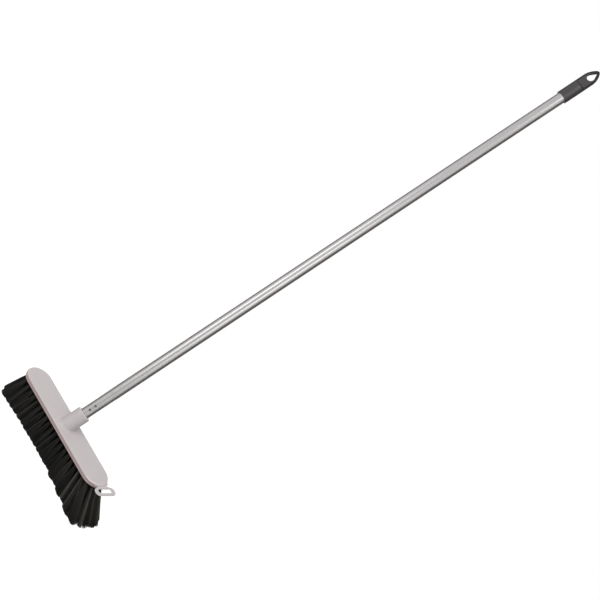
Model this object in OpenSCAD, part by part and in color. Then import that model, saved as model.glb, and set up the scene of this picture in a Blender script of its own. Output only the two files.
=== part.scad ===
// Household broom: a tufted head with a threaded socket, on a tubular handle with a hanging cap.
// Millimetres. +Z runs up the handle, +X along the head towards its hanging eye, and the origin
// is the centre of the round end of the cap's hanging hole, so the broom is drawn hanging.

/* [Head] */
// Length of the head
head_l = 275; // [200:1:400]
// Width of the head
head_w = 58; // [48:1:80]
// Height of the head cover's side, from its top face to the parting line
cover_h = 4.2; // [4.0:0.1:8]
// Radius of the head cover's top edge
edge_r = 3.6; // [1:0.1:4.0]
// Thickness of the head cover's top and side walls
cover_wall = 2.4; // [1.6:0.1:3.6]
// Height of the tuft board's side, below the parting line
board_h = 5.0; // [4:0.1:9]
// How far the tuft board's side stands in from the cover's
board_inset = 0.5; // [0.2:0.1:1]
// Lean of the handle from square to the head, towards the rear
lean = 28; // [15:1:40]

/* [Socket] */
// Outside diameter of the socket
socket_od = 32; // [30:0.5:38]
// Height of the socket's mouth above the cover's top face, along the handle
socket_rise = 37; // [36:0.5:50]
// Depth of the plain mouth that takes the tube's end
seat_depth = 7; // [5:0.5:10]
// Radius of the blend between socket and cover
blend_r = 6; // [2:0.5:8]

/* [Thread] */
// Pitch of the handle thread
thread_pitch = 5; // [4:0.5:6]
// Outside diameter of the male thread
thread_d = 19.4; // [17:0.1:20]
// Height of the thread above its core
thread_h = 1.6; // [1:0.1:2]
// Length of the threaded spigot
thread_l = 22; // [18:1:24]
// Clearance between male and female thread
thread_gap = 0.35; // [0.25:0.05:0.5]

/* [Handle tube] */
// Outside diameter of the tube
tube_od = 22; // [21:0.1:24]
// Wall of the tube
tube_wall = 0.8; // [0.6:0.1:1.2]
// Length of the tube
tube_l = 1128; // [600:1:1500]
// How far the tube's lower end is swaged in, on the radius
swage_in = 0.3; // [0.1:0.05:0.5]
// Length of the swaged end
swage_l = 62; // [50:1:90]
// Diameter of a punched dimple
dimple_d = 5.2; // [3:0.1:6]
// Depth of a punched dimple
dimple_depth = 1.3; // [0.6:0.1:1.5]
// Height of the first dimple above the tube's lower end
dimple_rise = 17.5; // [12:0.5:20]
// Distance between the two dimples of a pair
dimple_pitch = 12.4; // [8:0.1:15]
// Turn of the dimples from the front towards the hanging eye
dimple_turn = 21; // [0:1:90]

/* [Thread insert] */
// Thickness of the flange that the tube's end stands on
flange_t = 2; // [1.5:0.1:3]
// Length of the plug inside the tube
plug_l = 44; // [40:1:60]
// Bore of the hollow plug
plug_bore = 12; // [8:0.5:14]

/* [Hanger cap] */
// Wall of the cap's sleeve
cap_wall = 2.2; // [1:0.1:2.6]
// Length of tube inside the cap
cap_engage = 34.5; // [24:0.5:36.5]
// Height of the shoulder where the sleeve starts to slope to the blade
shoulder_rise = 37.5; // [37:0.5:43]
// Height over which the shoulder slopes in
shoulder_h = 8; // [6:0.5:12]
// Length of the cap
cap_l = 90; // [87.5:0.5:113]
// Thickness of the flat blade
blade_t = 6; // [4:0.5:8]
// Width of the hanging hole's round end
hole_d = 15; // [10:0.5:16]
// Height of the hole's round end above the cap's rim
hole_rise = 69.5; // [67.5:0.5:73.5]
// Length from the middle of the hole's round end to its narrow tip
hole_l = 14.5; // [12:0.5:16]
// Radius of the hole's narrow tip
hole_tip_r = 1.6; // [1:0.1:2.5]

/* [Hanging eye] */
// Width of the eye on the end of the head
eye_w = 49; // [42:0.5:56]
// How far the eye stands past the end of the head
eye_reach = 20.5; // [19.5:0.5:26]
// Gap between the end of the head and the eye's ring
eye_gap = 2.5; // [1.5:0.1:3.5]
// Width of the bar across the eye's outer end
eye_bar = 5.9; // [4:0.1:6.5]
// Width of the eye's hole, across the head
eye_hole_w = 32; // [24:0.5:34]
// Length of the eye's hole, along the head
eye_hole_l = 8.4; // [6:0.2:9]
// Thickness of the eye
eye_t = 2.4; // [2:0.1:3.4]
// Width of the neck between head and eye
eye_neck = 24; // [14:0.5:30]
// Turn of the eye from square to the head, its rear outwards
eye_turn = 8; // [0:1:10]

/* [Bristles] */
// Length of bristle below the tuft board
bristle_l = 60; // [40:1:90]
// Distance from the edge of the head to the outer tufts
tuft_margin = 9; // [8:0.5:12]
// Distance between the tufts of a row
tuft_pitch = 12.4; // [11:0.1:16]
// Diameter of a tuft hole
tuft_hole_d = 5; // [4:0.1:6]
// Depth of a tuft hole
tuft_depth = 5.0; // [4:0.1:5.4]
// Thickness of the slice of backing that a row is fused to
slice_t = 1.2; // [0.8:0.1:1.6]
// Angle of the last tufts at the eye's end of the head
fan_eye_end = 36; // [10:1:45]
// Angle of the last tufts at the far end of the head
fan_far_end = 8; // [0:1:45]
// Angle of the front row's tufts towards the front
splay_front = 6; // [0:1:15]
// Further angle of the front row's last tuft at the eye's end
splay_eye_corner = 16; // [0:1:25]
// Further angle of the front row's last tuft at the far end
splay_far_corner = 5; // [0:1:25]
// Angle of the rear row's tufts towards the rear
splay_rear = 1; // [0:1:15]
// Thickness of a strand at the board
strand_t = 1.6; // [1.2:0.1:1.8]
// Thickness of a strand at its tip
strand_tip_t = 2.8; // [1.2:0.1:2.9]
// Distance between the strands of a tuft at the board
strand_root = 2.2; // [2.0:0.1:2.6]
// Distance between the strands of a tuft at their tips
strand_tip = 5.0; // [3:0.1:6]

/* [Hidden] */
$fn = 64;

// Clearances: pieces of one body, tube in its socket mouth, swivelling cap, and stacked faces
fit_gap = 0.1;
mouth_gap = 0.4;
swivel_gap = 0.05;
seat_gap = 0.3;
// Overlap that makes two shapes one, and how far a cutter runs past a face
merge = 0.5;
past = 1;

// Colours of the plastics, the metals and the bristles
shell_colour = [0.72, 0.68, 0.68];
lower_colour = [0.62, 0.56, 0.57];
bristle_colour = [0.07, 0.07, 0.08];
tube_colour = [0.68, 0.68, 0.67];
cap_colour = [0.22, 0.22, 0.23];
insert_colour = [0.55, 0.55, 0.56];
anchor_colour = [0.60, 0.58, 0.52];

// Heights along the handle, from where its axis meets the cover's top face
seat_s = socket_rise - seat_depth;
flange_s = seat_s + seat_gap;
tube_s = flange_s + flange_t;
cap_s = tube_s + tube_l - cap_engage;
axis_drop = cap_s + hole_rise;

// Half sizes and levels of the head, in its own frame with its top face at zero
half_w = head_w / 2;
straight_half = head_l / 2 - half_w;
block_h = cover_h + board_h;
board_half_w = half_w - board_inset;
socket_r = socket_od / 2;

// Thread radii, and the extra turn that the female groove has at its inner end
core_r = thread_d / 2 - thread_h;
bore_r = core_r + thread_gap;
groove_r = thread_d / 2 + thread_gap;
bore_depth_gap = 1.2;
crest_share = 0.22;
root_share = 0.5;
turn_steps = 24;
thread_margin = thread_pitch * root_share;
thread_turns = (thread_l - 2 * thread_margin) / thread_pitch;
groove_lead = 0.25;

// Tube radii, at the plain length and at the swaged end
tube_r = tube_od / 2;
swage_r = tube_r - swage_in;
swage_taper = 12;
plug_r = swage_r - tube_wall - fit_gap / 2;

// Cap radii, and the arc that brings the blade's sides, from below the hole, to its rounded tip
cap_r = tube_r + swivel_gap + cap_wall;
nose_lead = 6.5;
nose_start = hole_rise - nose_lead;
tip_r = 5;
nose_l = cap_l - nose_start - tip_r;
nose_half = cap_r - tip_r;
nose_arc = (nose_l * nose_l + nose_half * nose_half) / (2 * nose_half);

// Tuft field: rows across the head, which end on an arc, and how they fan out
row_count = 5;
outer_y = half_w - tuft_margin;
end_arc_share = 1.1;
end_arc_r = end_arc_share * outer_y;
row_pitch = 2 * outer_y / (row_count - 1);
slice_rim = 1;
slice_w = tuft_hole_d + 2 * slice_rim;
plug_slack = 0.2;
tuft_plug_d = tuft_hole_d - 2 * plug_slack;
anchor_t = 0.5;
anchor_h = 2;
anchor_bite = 0.5;

// Position, fan and splay of the tufts: half length of row, number in it, and place of each
function row_y(row) = (row - (row_count - 1) / 2) * row_pitch;
function row_half(row) = straight_half + outer_y - end_arc_r
    + sqrt(end_arc_r * end_arc_r - row_y(row) * row_y(row));
function row_tufts(row) = round(2 * row_half(row) / tuft_pitch) + 1;
function tuft_x(row, i) = row_half(row) * (2 * i / (row_tufts(row) - 1) - 1);
function end_share(row, x) = pow(x / row_half(row), 2);
function fan_slope(row, x) = (x > 0 ? tan(fan_eye_end) : -tan(fan_far_end)) * end_share(row, x);
function corner_slope(row, x) = tan(x > 0 ? splay_eye_corner : splay_far_corner) * end_share(row, x);
function edge_slope(row, x) = row_y(row) < 0 ? tan(splay_front) + corner_slope(row, x) : tan(splay_rear);
function splay_slope(row, x) = row_y(row) / outer_y * edge_slope(row, x);

// Place of a strand's middle at a depth below the board, and its square ring of four corners;
// a strand leans as its own side of the tuft asks, so that tufts open out where the rows fan
function along(depth, root, tip) = root + (tip - root) * depth / bristle_l;
function strand_at(row, x, side, depth) = let (gap = along(depth, strand_root, strand_tip) / 2,
    lean_x = x + side[0] * tuft_pitch / 4)
    [x + side[0] * gap + depth * fan_slope(row, lean_x),
    row_y(row) + side[1] * gap + depth * splay_slope(row, lean_x), -block_h - depth];
SIDES = [[-1, -1], [1, -1], [1, 1], [-1, 1]];
function strand_ring(row, x, side, depth) = let (half_t = along(depth, strand_t, strand_tip_t) / 2)
    [for (corner = SIDES) strand_at(row, x, side, depth) + half_t * [corner[0], corner[1], 0]];

// Triangles of a closed four-sided tube of so many rings, first ring facing the start
function tube_faces(rings) = concat([[0, 2, 1], [0, 3, 2]],
    [for (k = [0 : rings - 2], c = [0 : 3]) each let (a = 4 * k + c, b = 4 * k + (c + 1) % 4)
        [[a, b, a + 4], [b, b + 4, a + 4]]],
    let (last = 4 * (rings - 1)) [[last, last + 1, last + 2], [last, last + 2, last + 3]]);

// Corners of a helix of trapezoid section, from an inner to an outer radius, between two turns
function helix_points(inner_r, outer_r, root_w, crest_w, from_turn, to_turn) =
    let (steps = ceil((to_turn - from_turn) * turn_steps))
    [for (k = [0 : steps]) each let (turn = from_turn + (to_turn - from_turn) * k / steps,
        a = 360 * turn, z = thread_pitch * turn)
        [[inner_r * cos(a), inner_r * sin(a), z - root_w / 2],
        [outer_r * cos(a), outer_r * sin(a), z - crest_w / 2],
        [outer_r * cos(a), outer_r * sin(a), z + crest_w / 2],
        [inner_r * cos(a), inner_r * sin(a), z + root_w / 2]]];

// Ellipses where a tilted socket, widened by the blend, crosses level planes above the cover,
// which crowd towards the cover
blend_levels = 5;
blend_crowd = 1.5;
blend_sides = 48;
blend_sink = 0.2;
function blend_out(z) = blend_r - sqrt(max(0, blend_r * blend_r - pow(blend_r - z, 2)));
function blend_ring(z, out) = [for (c = [0 : blend_sides - 1]) let (a = 360 * c / blend_sides)
    [(socket_r + out) * cos(a), z * tan(lean) + (socket_r / cos(lean) + out) * sin(a), z]];
function ring_faces(rings, sides) = concat([[for (c = [0 : sides - 1]) c]],
    [for (k = [0 : rings - 2], c = [0 : sides - 1]) each
        let (a = sides * k + c, b = sides * k + (c + 1) % sides)
        [[a, a + sides, b], [b, a + sides, b + sides]]],
    [[for (c = [sides - 1 : -1 : 0]) sides * (rings - 1) + c]]);

// Puts the head, drawn with its top face at zero, on the leaning handle
module on_head() {
    translate([0, 0, -axis_drop]) rotate([lean, 0, 0]) children();
}

// Puts a piece drawn from the head's top face up the handle's axis
module on_handle() {
    translate([0, 0, -axis_drop]) children();
}

// Outline with two round ends, along X
module round_ended(length, width) {
    square([length - width, width], center = true);
    for (side = [-1, 1]) translate([side * (length - width) / 2, 0]) circle(d = width);
}

// Half section of the cover: flat top with a rounded outer edge
module cover_section() {
    translate([0, -cover_h]) square([half_w, cover_h - edge_r]);
    translate([0, -edge_r]) square([half_w - edge_r, edge_r]);
    intersection() {
        translate([half_w - edge_r, -edge_r]) circle(r = edge_r);
        translate([half_w - edge_r, -edge_r]) square(edge_r);
    }
}

// Cover body: the half section drawn out along both sides and turned round both ends
module cover_body() {
    for (turn = [0, 180]) rotate([0, 0, turn]) {
        translate([-straight_half, 0, 0]) rotate([90, 0, 90])
            linear_extrude(2 * straight_half) cover_section();
        translate([straight_half, 0, 0]) rotate([0, 0, -90])
            rotate_extrude(angle = 180) cover_section();
    }
}

// Socket stub, cut level with the underside of the cover's top
module socket_body() {
    intersection() {
        rotate([-lean, 0, 0]) translate([0, 0, -head_w]) cylinder(r = socket_r, h = head_w + socket_rise);
        translate([-head_w, -head_w, -cover_wall]) cube([2 * head_w, 2 * head_w, 2 * head_w]);
    }
}

// Blend between socket and cover
module socket_blend() {
    levels = [for (k = [0 : blend_levels]) blend_r * pow(k / blend_levels, blend_crowd)];
    rings = concat([blend_ring(-merge, blend_r)],
        [for (z = levels) blend_ring(z, blend_out(z) - blend_sink * z / blend_r)]);
    polyhedron([for (ring = rings) each ring], ring_faces(len(rings), blend_sides));
}

// Female thread, from the bottom of the bore out into the plain mouth
module thread_cut() {
    floor_s = flange_s - thread_l - bore_depth_gap;
    translate([0, 0, floor_s]) cylinder(r = bore_r, h = seat_s - floor_s + past);
    translate([0, 0, seat_s]) cylinder(r = tube_r + mouth_gap, h = seat_depth + past);
    points = helix_points(bore_r - merge, groove_r, thread_pitch * root_share + 2 * thread_gap,
        thread_pitch * crest_share + 2 * thread_gap, -groove_lead, thread_turns + 1);
    translate([0, 0, flange_s - thread_l + thread_margin])
        polyhedron(points, tube_faces(len(points) / 4));
}

// Outline of the hanging eye and its neck
module eye_outline() {
    outer_x = head_l / 2 + eye_reach;
    eye_l = eye_reach - eye_gap;
    hole_x = outer_x - eye_bar - eye_hole_l / 2;
    difference() {
        union() {
            translate([hole_x, 0]) rotate(-eye_turn) translate([outer_x - eye_l / 2 - hole_x, 0])
                rotate(90) round_ended(eye_w, eye_l);
            translate([straight_half, -eye_neck / 2]) square([hole_x - straight_half, eye_neck]);
        }
        translate([hole_x, 0]) rotate(90 - eye_turn) round_ended(eye_hole_w, eye_hole_l);
    }
}

module head_cover() {
    color(shell_colour) on_head() difference() {
        union() {
            cover_body();
            socket_body();
            socket_blend();
            translate([0, 0, -cover_h]) linear_extrude(eye_t) eye_outline();
        }
        translate([0, 0, -cover_h - past]) linear_extrude(cover_h + past - cover_wall)
            round_ended(head_l - 2 * cover_wall, head_w - 2 * cover_wall);
        rotate([-lean, 0, 0]) thread_cut();
    }
}

module tuft_board() {
    plug_half_w = half_w - cover_wall - fit_gap;
    color(lower_colour) on_head() difference() {
        union() {
            translate([0, 0, -block_h]) linear_extrude(board_h)
                round_ended(head_l - 2 * board_inset, 2 * board_half_w);
            translate([0, 0, -cover_h - merge]) linear_extrude(cover_h + merge - cover_wall - fit_gap)
                round_ended(2 * (straight_half + plug_half_w), 2 * plug_half_w);
        }
        for (row = [0 : row_count - 1]) {
            translate([0, row_y(row), -block_h])
                cube([2 * row_half(row) + slice_w + 2 * fit_gap, slice_w + 2 * fit_gap,
                    2 * (slice_t + fit_gap)], center = true);
            for (i = [0 : row_tufts(row) - 1]) translate([tuft_x(row, i), row_y(row), -block_h - past])
                cylinder(d = tuft_hole_d, h = tuft_depth + past, $fn = 24);
        }
    }
}

// One strand of a tuft, square in section, from inside the slice of backing to the sole
module strand(row, x, side) {
    points = concat(strand_ring(row, x, side, -slice_t / 2), strand_ring(row, x, side, bristle_l));
    polyhedron(points, tube_faces(2));
}

// Wire plate driven in across the top of a tuft hole, widened all round by a gap
module anchor(row, i, gap) {
    translate([tuft_x(row, i), row_y(row), -block_h + tuft_depth - fit_gap - anchor_h / 2])
        cube([tuft_hole_d + 2 * anchor_bite, anchor_t + 2 * gap, anchor_h + 2 * gap], center = true);
}

// A row of tufts: strands fused to a slice of the backing, and folded roots that fill the holes
module tuft_row(row) {
    y = row_y(row);
    color(bristle_colour) on_head() difference() {
        union() {
            translate([-row_half(row) - slice_w / 2, y - slice_w / 2, -block_h])
                cube([2 * row_half(row) + slice_w, slice_w, slice_t]);
            for (i = [0 : row_tufts(row) - 1]) {
                translate([tuft_x(row, i), y, -block_h + slice_t - merge])
                    cylinder(d = tuft_plug_d, h = tuft_depth - slice_t + merge - fit_gap, $fn = 8);
                for (side = SIDES) strand(row, tuft_x(row, i), side);
            }
        }
        for (i = [0 : row_tufts(row) - 1]) anchor(row, i, fit_gap);
    }
}

module front_tuft_row() { tuft_row(0); }
module front_inner_tuft_row() { tuft_row(1); }
module middle_tuft_row() { tuft_row(2); }
module rear_inner_tuft_row() { tuft_row(3); }
module rear_tuft_row() { tuft_row(4); }

module tuft_anchors() {
    color(anchor_colour) on_head() for (row = [0 : row_count - 1])
        for (i = [0 : row_tufts(row) - 1]) anchor(row, i, 0);
}

// Balls that punch the dimples, on the front and on the back of the tube's lower end
module dimple_balls(extra) {
    ball_r = (dimple_d * dimple_d / 4 + dimple_depth * dimple_depth) / (2 * dimple_depth);
    for (turn = [0, 180], k = [0, 1])
        rotate([0, 0, turn - 90 + dimple_turn])
            translate([swage_r - dimple_depth + ball_r, 0, tube_s + dimple_rise + k * dimple_pitch])
                sphere(r = ball_r + extra);
}

// Section of the tube's solid at a wall's inset: swaged end, short taper, plain length
module tube_section(inset) {
    polygon([[0, tube_s], [swage_r - inset, tube_s], [swage_r - inset, tube_s + swage_l],
        [tube_r - inset, tube_s + swage_l + swage_taper], [tube_r - inset, tube_s + tube_l],
        [0, tube_s + tube_l]]);
}

module handle_tube() {
    color(tube_colour) on_handle() difference() {
        union() {
            rotate_extrude() difference() {
                tube_section(0);
                tube_section(tube_wall);
            }
            intersection() {
                dimple_balls(tube_wall);
                rotate_extrude() tube_section(0);
            }
        }
        dimple_balls(0);
    }
}

module thread_insert() {
    points = helix_points(core_r - merge, thread_d / 2, thread_pitch * root_share,
        thread_pitch * crest_share, 0, thread_turns);
    color(insert_colour) on_handle() difference() {
        union() {
            translate([0, 0, flange_s - thread_l]) cylinder(r = core_r, h = thread_l + flange_t);
            translate([0, 0, flange_s]) cylinder(r = swage_r, h = flange_t);
            translate([0, 0, tube_s - merge]) cylinder(r = plug_r, h = plug_l + merge);
            translate([0, 0, flange_s - thread_l + thread_margin])
                polyhedron(points, tube_faces(len(points) / 4));
        }
        translate([0, 0, tube_s]) cylinder(d = plug_bore, h = plug_l + past);
        dimple_balls(tube_wall + fit_gap);
    }
}

// Outline of the cap's blade: parallel sides that curve in to a rounded tip
module blade_outline() {
    tip_y = nose_start + nose_l;
    touch = atan2(nose_l, nose_arc - nose_half);
    translate([-cap_r, shoulder_rise]) square([2 * cap_r, nose_start - shoulder_rise]);
    intersection() {
        nose_arcs();
        translate([-cap_r, nose_start]) square([2 * cap_r, nose_l + tip_r * sin(touch)]);
    }
    translate([0, tip_y]) circle(r = tip_r);
}

// The two arcs that bound the nose, each struck from the far side
module nose_arcs() {
    intersection() {
        nose_side(1);
        nose_side(-1);
    }
}

module nose_side(side) {
    translate([side * (cap_r - tip_r - nose_arc), nose_start]) circle(r = nose_arc + tip_r, $fn = 128);
}

// Hanging hole: a round end and a narrow tip, joined along their common tangents
module hole_outline() {
    round_r = hole_d / 2;
    tip_y = hole_l - hole_tip_r;
    tangent = asin((round_r - hole_tip_r) / tip_y);
    wide = round_r * cos(tangent);
    narrow = hole_tip_r * cos(tangent);
    wide_y = round_r * sin(tangent);
    narrow_y = tip_y + hole_tip_r * sin(tangent);
    circle(r = round_r);
    translate([0, tip_y]) circle(r = hole_tip_r);
    polygon([[wide, wide_y], [narrow, narrow_y], [-narrow, narrow_y], [-wide, wide_y]]);
}

// Cap body: round sleeve whose closed end slopes in, front and back, to the blade
module cap_body() {
    top = shoulder_rise + shoulder_h;
    intersection() {
        cylinder(r = cap_r, h = top);
        translate([-cap_r - past, 0, 0]) rotate([90, 0, 90]) linear_extrude(2 * (cap_r + past))
            polygon([[-cap_r, 0], [cap_r, 0], [cap_r, shoulder_rise], [blade_t / 2, top],
                [-blade_t / 2, top], [-cap_r, shoulder_rise]]);
    }
}

module hanger_cap() {
    color(cap_colour) translate([0, 0, -hole_rise]) difference() {
        union() {
            cap_body();
            translate([0, blade_t / 2, 0]) rotate([90, 0, 0]) linear_extrude(blade_t) blade_outline();
        }
        translate([0, 0, -past]) cylinder(r = tube_r + swivel_gap, h = cap_engage + seat_gap + past);
        translate([0, blade_t, hole_rise]) rotate([90, 0, 0]) linear_extrude(2 * blade_t) hole_outline();
    }
}

head_cover();
tuft_board();
front_tuft_row();
front_inner_tuft_row();
middle_tuft_row();
rear_inner_tuft_row();
rear_tuft_row();
tuft_anchors();
handle_tube();
thread_insert();
hanger_cap();
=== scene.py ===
"""Looks of a household broom: its surfaces and finishes, and a plain studio round it.

Lengths are metres in the part's frame: +Z runs up the handle, +X along the head towards its hanging
eye, and -Y to the front. The head's own frame has its top face at zero and its bristles below.
"""

import math
from typing import NamedTuple

import bmesh
import bpy
import numpy as np
from bpy.props import FloatProperty, FloatVectorProperty, IntProperty, PointerProperty
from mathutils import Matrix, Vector


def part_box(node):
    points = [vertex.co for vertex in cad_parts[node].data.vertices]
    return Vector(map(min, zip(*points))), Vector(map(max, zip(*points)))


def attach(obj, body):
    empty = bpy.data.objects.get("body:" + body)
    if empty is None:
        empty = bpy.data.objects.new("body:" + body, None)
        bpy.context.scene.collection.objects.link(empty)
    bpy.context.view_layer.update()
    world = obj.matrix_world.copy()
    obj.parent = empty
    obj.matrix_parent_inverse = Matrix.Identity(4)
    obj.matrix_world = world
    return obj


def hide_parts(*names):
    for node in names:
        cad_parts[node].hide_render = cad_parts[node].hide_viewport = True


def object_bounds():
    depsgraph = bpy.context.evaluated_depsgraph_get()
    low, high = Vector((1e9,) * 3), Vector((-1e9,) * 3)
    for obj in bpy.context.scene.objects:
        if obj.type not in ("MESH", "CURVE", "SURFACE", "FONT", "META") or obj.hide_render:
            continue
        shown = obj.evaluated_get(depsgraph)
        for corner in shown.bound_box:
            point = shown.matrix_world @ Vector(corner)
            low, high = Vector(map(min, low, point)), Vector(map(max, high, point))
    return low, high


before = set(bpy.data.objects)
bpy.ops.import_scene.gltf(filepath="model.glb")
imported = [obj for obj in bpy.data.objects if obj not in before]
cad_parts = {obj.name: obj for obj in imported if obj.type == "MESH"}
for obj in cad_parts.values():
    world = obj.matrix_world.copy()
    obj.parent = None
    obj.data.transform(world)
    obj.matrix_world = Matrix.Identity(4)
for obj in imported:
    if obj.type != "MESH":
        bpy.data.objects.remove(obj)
CAD_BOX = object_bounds()

bl_info = {
    "name": "Household Broom",
    "version": (1, 0, 0),
    "blender": (4, 5, 0),
    "location": "View3D > Sidebar > Broom",
    "description": "Surfaces, finishes and studio of a household broom",
    "category": "Object",
}

MM = 0.001
TUBE_LOW, TUBE_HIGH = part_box("handle_tube")
CAP_LOW, CAP_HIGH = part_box("hanger_cap")
FULL_TURN = 2 * math.pi
QUARTER_TURN = math.pi / 2
GOLDEN_TURN = math.pi * (3 - math.sqrt(5))

# Form of a strand: its sides, its point's length over its radius, the share of the hole that its root keeps
# to, and the power of the depth with which it opens.
STRAND_SIDES = 3
TIP_POINT = 2
ROOT_FILL = 0.9
CURL_POWER = 0.8

# Bow of a strand: the share that strays, how much further it bows, and the most in spreads of the bow.
STRAY_SHARE = 0.02
STRAY_BOW = 3
MOST_BOW = 3.5

# Reach of the strands over the bristles' length: the least, the most, and the steps that cut the tips, by
# their depth, the part of it that lies beyond the plain reach, the place where they start and their pitch.
# Places along a row are 0 in its middle and 1 at its end by the eye.
LEAST_REACH = 0.85
MOST_REACH = 1.03
STEP_CUT = 0.08
STEP_KEEP = 0.5
STEP_START = 0.16
STEP_PITCH = 0.24

# Strands towards the eye's end: the place from which they change, how much later they open, and how much
# lighter they are, which is painted light.
LEAD_START = 0.55
LEAD_CURL = 0.7
LEAD_PAINTED_LIGHT = 2.7

# Shades of the strands: the clumps' share in them, and the power that keeps most clumps dark. The clumps'
# tones are random, and their few bright ones are painted glints.
CLUMP_SHADE = 0.9
CLUMP_POWER = 3

# Radius of the arc that the rows end on, over the outer rows' place across the head.
END_ARC = 1.1

# Painted highlight on the cover's edges, and wear on the board's lower edge: the mouth's outermost rings that
# stay without it, the depth over the edge's radius at which the highlight on the ends' edge peaks, how far
# that grows along the ends over the head's width, the amount of lightening and the polish that goes with it.
RIM_FADE = 2
HIGHLIGHT_DEPTH = 0.2
HIGHLIGHT_REACH = 0.25
HIGHLIGHT_AND_WEAR_AMOUNT = 0.9
EDGE_POLISH = 0.25

# Depths over the edge's radius between which the cover takes on its side's darker colour, painted shade for
# the side that faces down.
SIDE_SHADE_DEPTHS = (0.1, 0.75)

# Painted shade: the part of the cap's shoulder over which it fades, the part of the band along the cap's
# outline where it is full, its amounts on the tube's lower end, where it stands in for darker reflections,
# and in the dimples, the tone that it leaves and the roughness that it adds.
SHOULDER_FADE = 0.3
EDGE_CORE = 0.3
END_PAINTED_SHADE = 0.13
DIMPLE_PAINTED_SHADE = 0.8
PAINTED_SHADE_TONE = 0.1
PAINTED_SHADE_ROUGHNESS = 0.5

# Heights of the plastic's grain and of the metal's drawn lines.
GRAIN_HEIGHT = 0.1 * MM
LINE_HEIGHT = 0.05 * MM

# Kinds of a shader group's sockets, and the places of a colour mix's sockets.
NUMBER = "NodeSocketFloat"
COLOUR = "NodeSocketColor"
MIX_FACTOR, MIX_FIRST, MIX_SECOND = 0, 6, 7
MIX_RESULT = 2

ROW_NODES = (
    "front_tuft_row",
    "front_inner_tuft_row",
    "middle_tuft_row",
    "rear_inner_tuft_row",
    "rear_tuft_row",
)


class Lamp(NamedTuple):
    """Soft lamp far off: the way to it, its strength, and the angle in degrees that it fills."""

    towards: Vector
    strength: float
    spread: float


class Card(NamedTuple):
    """Curved card round the handle, which only reflections show: the azimuths in degrees and the heights in
    metres that it runs between, its glow, where 1 is white, and its tint."""

    start: float
    end: float
    low: float
    high: float
    glow: float
    tint: tuple = (1.0, 1.0, 1.0, 1.0)


CARD_BROWN = (1.0, 0.9, 0.84, 1.0)
LAMPS = {
    "key": Lamp(Vector((-0.1, -0.68, 0.68)), strength=1.49, spread=70),
    "fill": Lamp(Vector((0.76, -0.6, 0.2)), strength=0.12, spread=80),
}
CARDS = {
    "left light": Card(start=-125, end=-100, low=-1.12, high=-0.2, glow=2.7),
    "right light": Card(start=-52, end=-32, low=-1.0, high=-0.25, glow=2.6),
    "cap light": Card(start=-66, end=-34, low=0.6, high=1.1, glow=4.4),
    "camera flag": Card(start=-80, end=-68, low=-1.6, high=-0.65, glow=0.6),
    "left flag": Card(start=150, end=189, low=-1.7, high=1.0, glow=0.25, tint=CARD_BROWN),
    "low left flag": Card(start=189, end=206, low=-1.7, high=-0.95, glow=0.6, tint=CARD_BROWN),
    "right flag": Card(start=3, end=105, low=-1.7, high=0.95, glow=0.2, tint=CARD_BROWN),
    "top flag": Card(start=88, end=128, low=0.95, high=1.7, glow=0.0),
}


def length(name, description, millimetres):
    """A length that is given in millimetres and kept in metres."""
    return FloatProperty(name=name, description=description, default=millimetres * MM, unit="LENGTH")


def angle(name, description, degrees):
    """An angle that is given in degrees and kept in radians."""
    return FloatProperty(name=name, description=description, default=math.radians(degrees), subtype="ANGLE")


def share(name, description, value):
    """A plain number between 0 and 1."""
    return FloatProperty(name=name, description=description, default=value, min=0, max=1, subtype="FACTOR")


def colour(name, description, red, green, blue):
    """A linear colour."""
    return FloatVectorProperty(
        name=name, description=description, default=(red, green, blue), size=3, min=0, max=1, subtype="COLOR"
    )


class BroomHeadSizes(bpy.types.PropertyGroup):
    """Sizes of the head: its cover, socket, hanging eye and tuft board."""

    length: length("Length", "Length of the head, without the eye", 275)
    width: length("Width", "Width of the head", 58)
    lean: angle("Lean", "Lean of the handle from square to the head", 28)
    tube_seat: length("Tube seat", "Height of the tube's end above the cover's top, along the handle", 32.3)
    cover_height: length("Cover height", "Height of the cover's side", 4.2)
    cover_wall: length("Cover wall", "Thickness of the cover's walls", 2.4)
    edge_radius: length("Edge radius", "Radius of the cover's top edge", 3.6)
    lip_radius: length("Lip radius", "Radius of the cover's lower lip", 0.4)
    board_height: length("Board height", "Height of the tuft board's side", 5)
    board_inset: length("Board inset", "How far the board's side stands in from the cover's", 0.5)
    board_edge: length("Board edge", "Radius of the board's lower edge", 1)
    socket_radius: length("Socket radius", "Outside radius of the socket", 16)
    socket_rise: length("Socket rise", "Height of the socket's mouth, along the handle", 37)
    mouth_radius: length("Mouth radius", "Radius of the plain mouth round the tube", 11.4)
    mouth_depth: length("Mouth depth", "Depth of the plain mouth", 7)
    bore_floor: length("Bore floor", "Height of the bottom of the bore, along the handle", 7.1)
    rim_inside: length("Rim inside", "Radius of the mouth's inner edge", 0.5)
    rim_outside: length("Rim outside", "Radius of the mouth's outer edge", 0.9)
    fillet_rise: length("Fillet rise", "Height of the blend on the socket's wall", 4.6)
    fillet_reach: length("Fillet reach", "Reach of the blend on the cover's top", 4)
    eye_reach: length("Eye reach", "How far the hanging eye stands past the end of the head", 20.5)
    eye_turn: angle("Eye turn", "Turn of the eye from square to the head, its rear outwards", 8)
    eye_width: length("Eye width", "Width of the hanging eye", 49)
    eye_length: length("Eye length", "Length of the hanging eye", 18)
    eye_bar: length("Eye bar", "Width of the bar across the eye's outer end", 5.9)
    eye_hole_width: length("Eye hole width", "Width of the eye's hole", 32)
    eye_hole_length: length("Eye hole length", "Length of the eye's hole", 8.4)
    eye_thickness: length("Eye thickness", "Thickness of the eye", 2.4)
    neck_width: length("Neck width", "Least width of the web between head and eye", 24)


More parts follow.
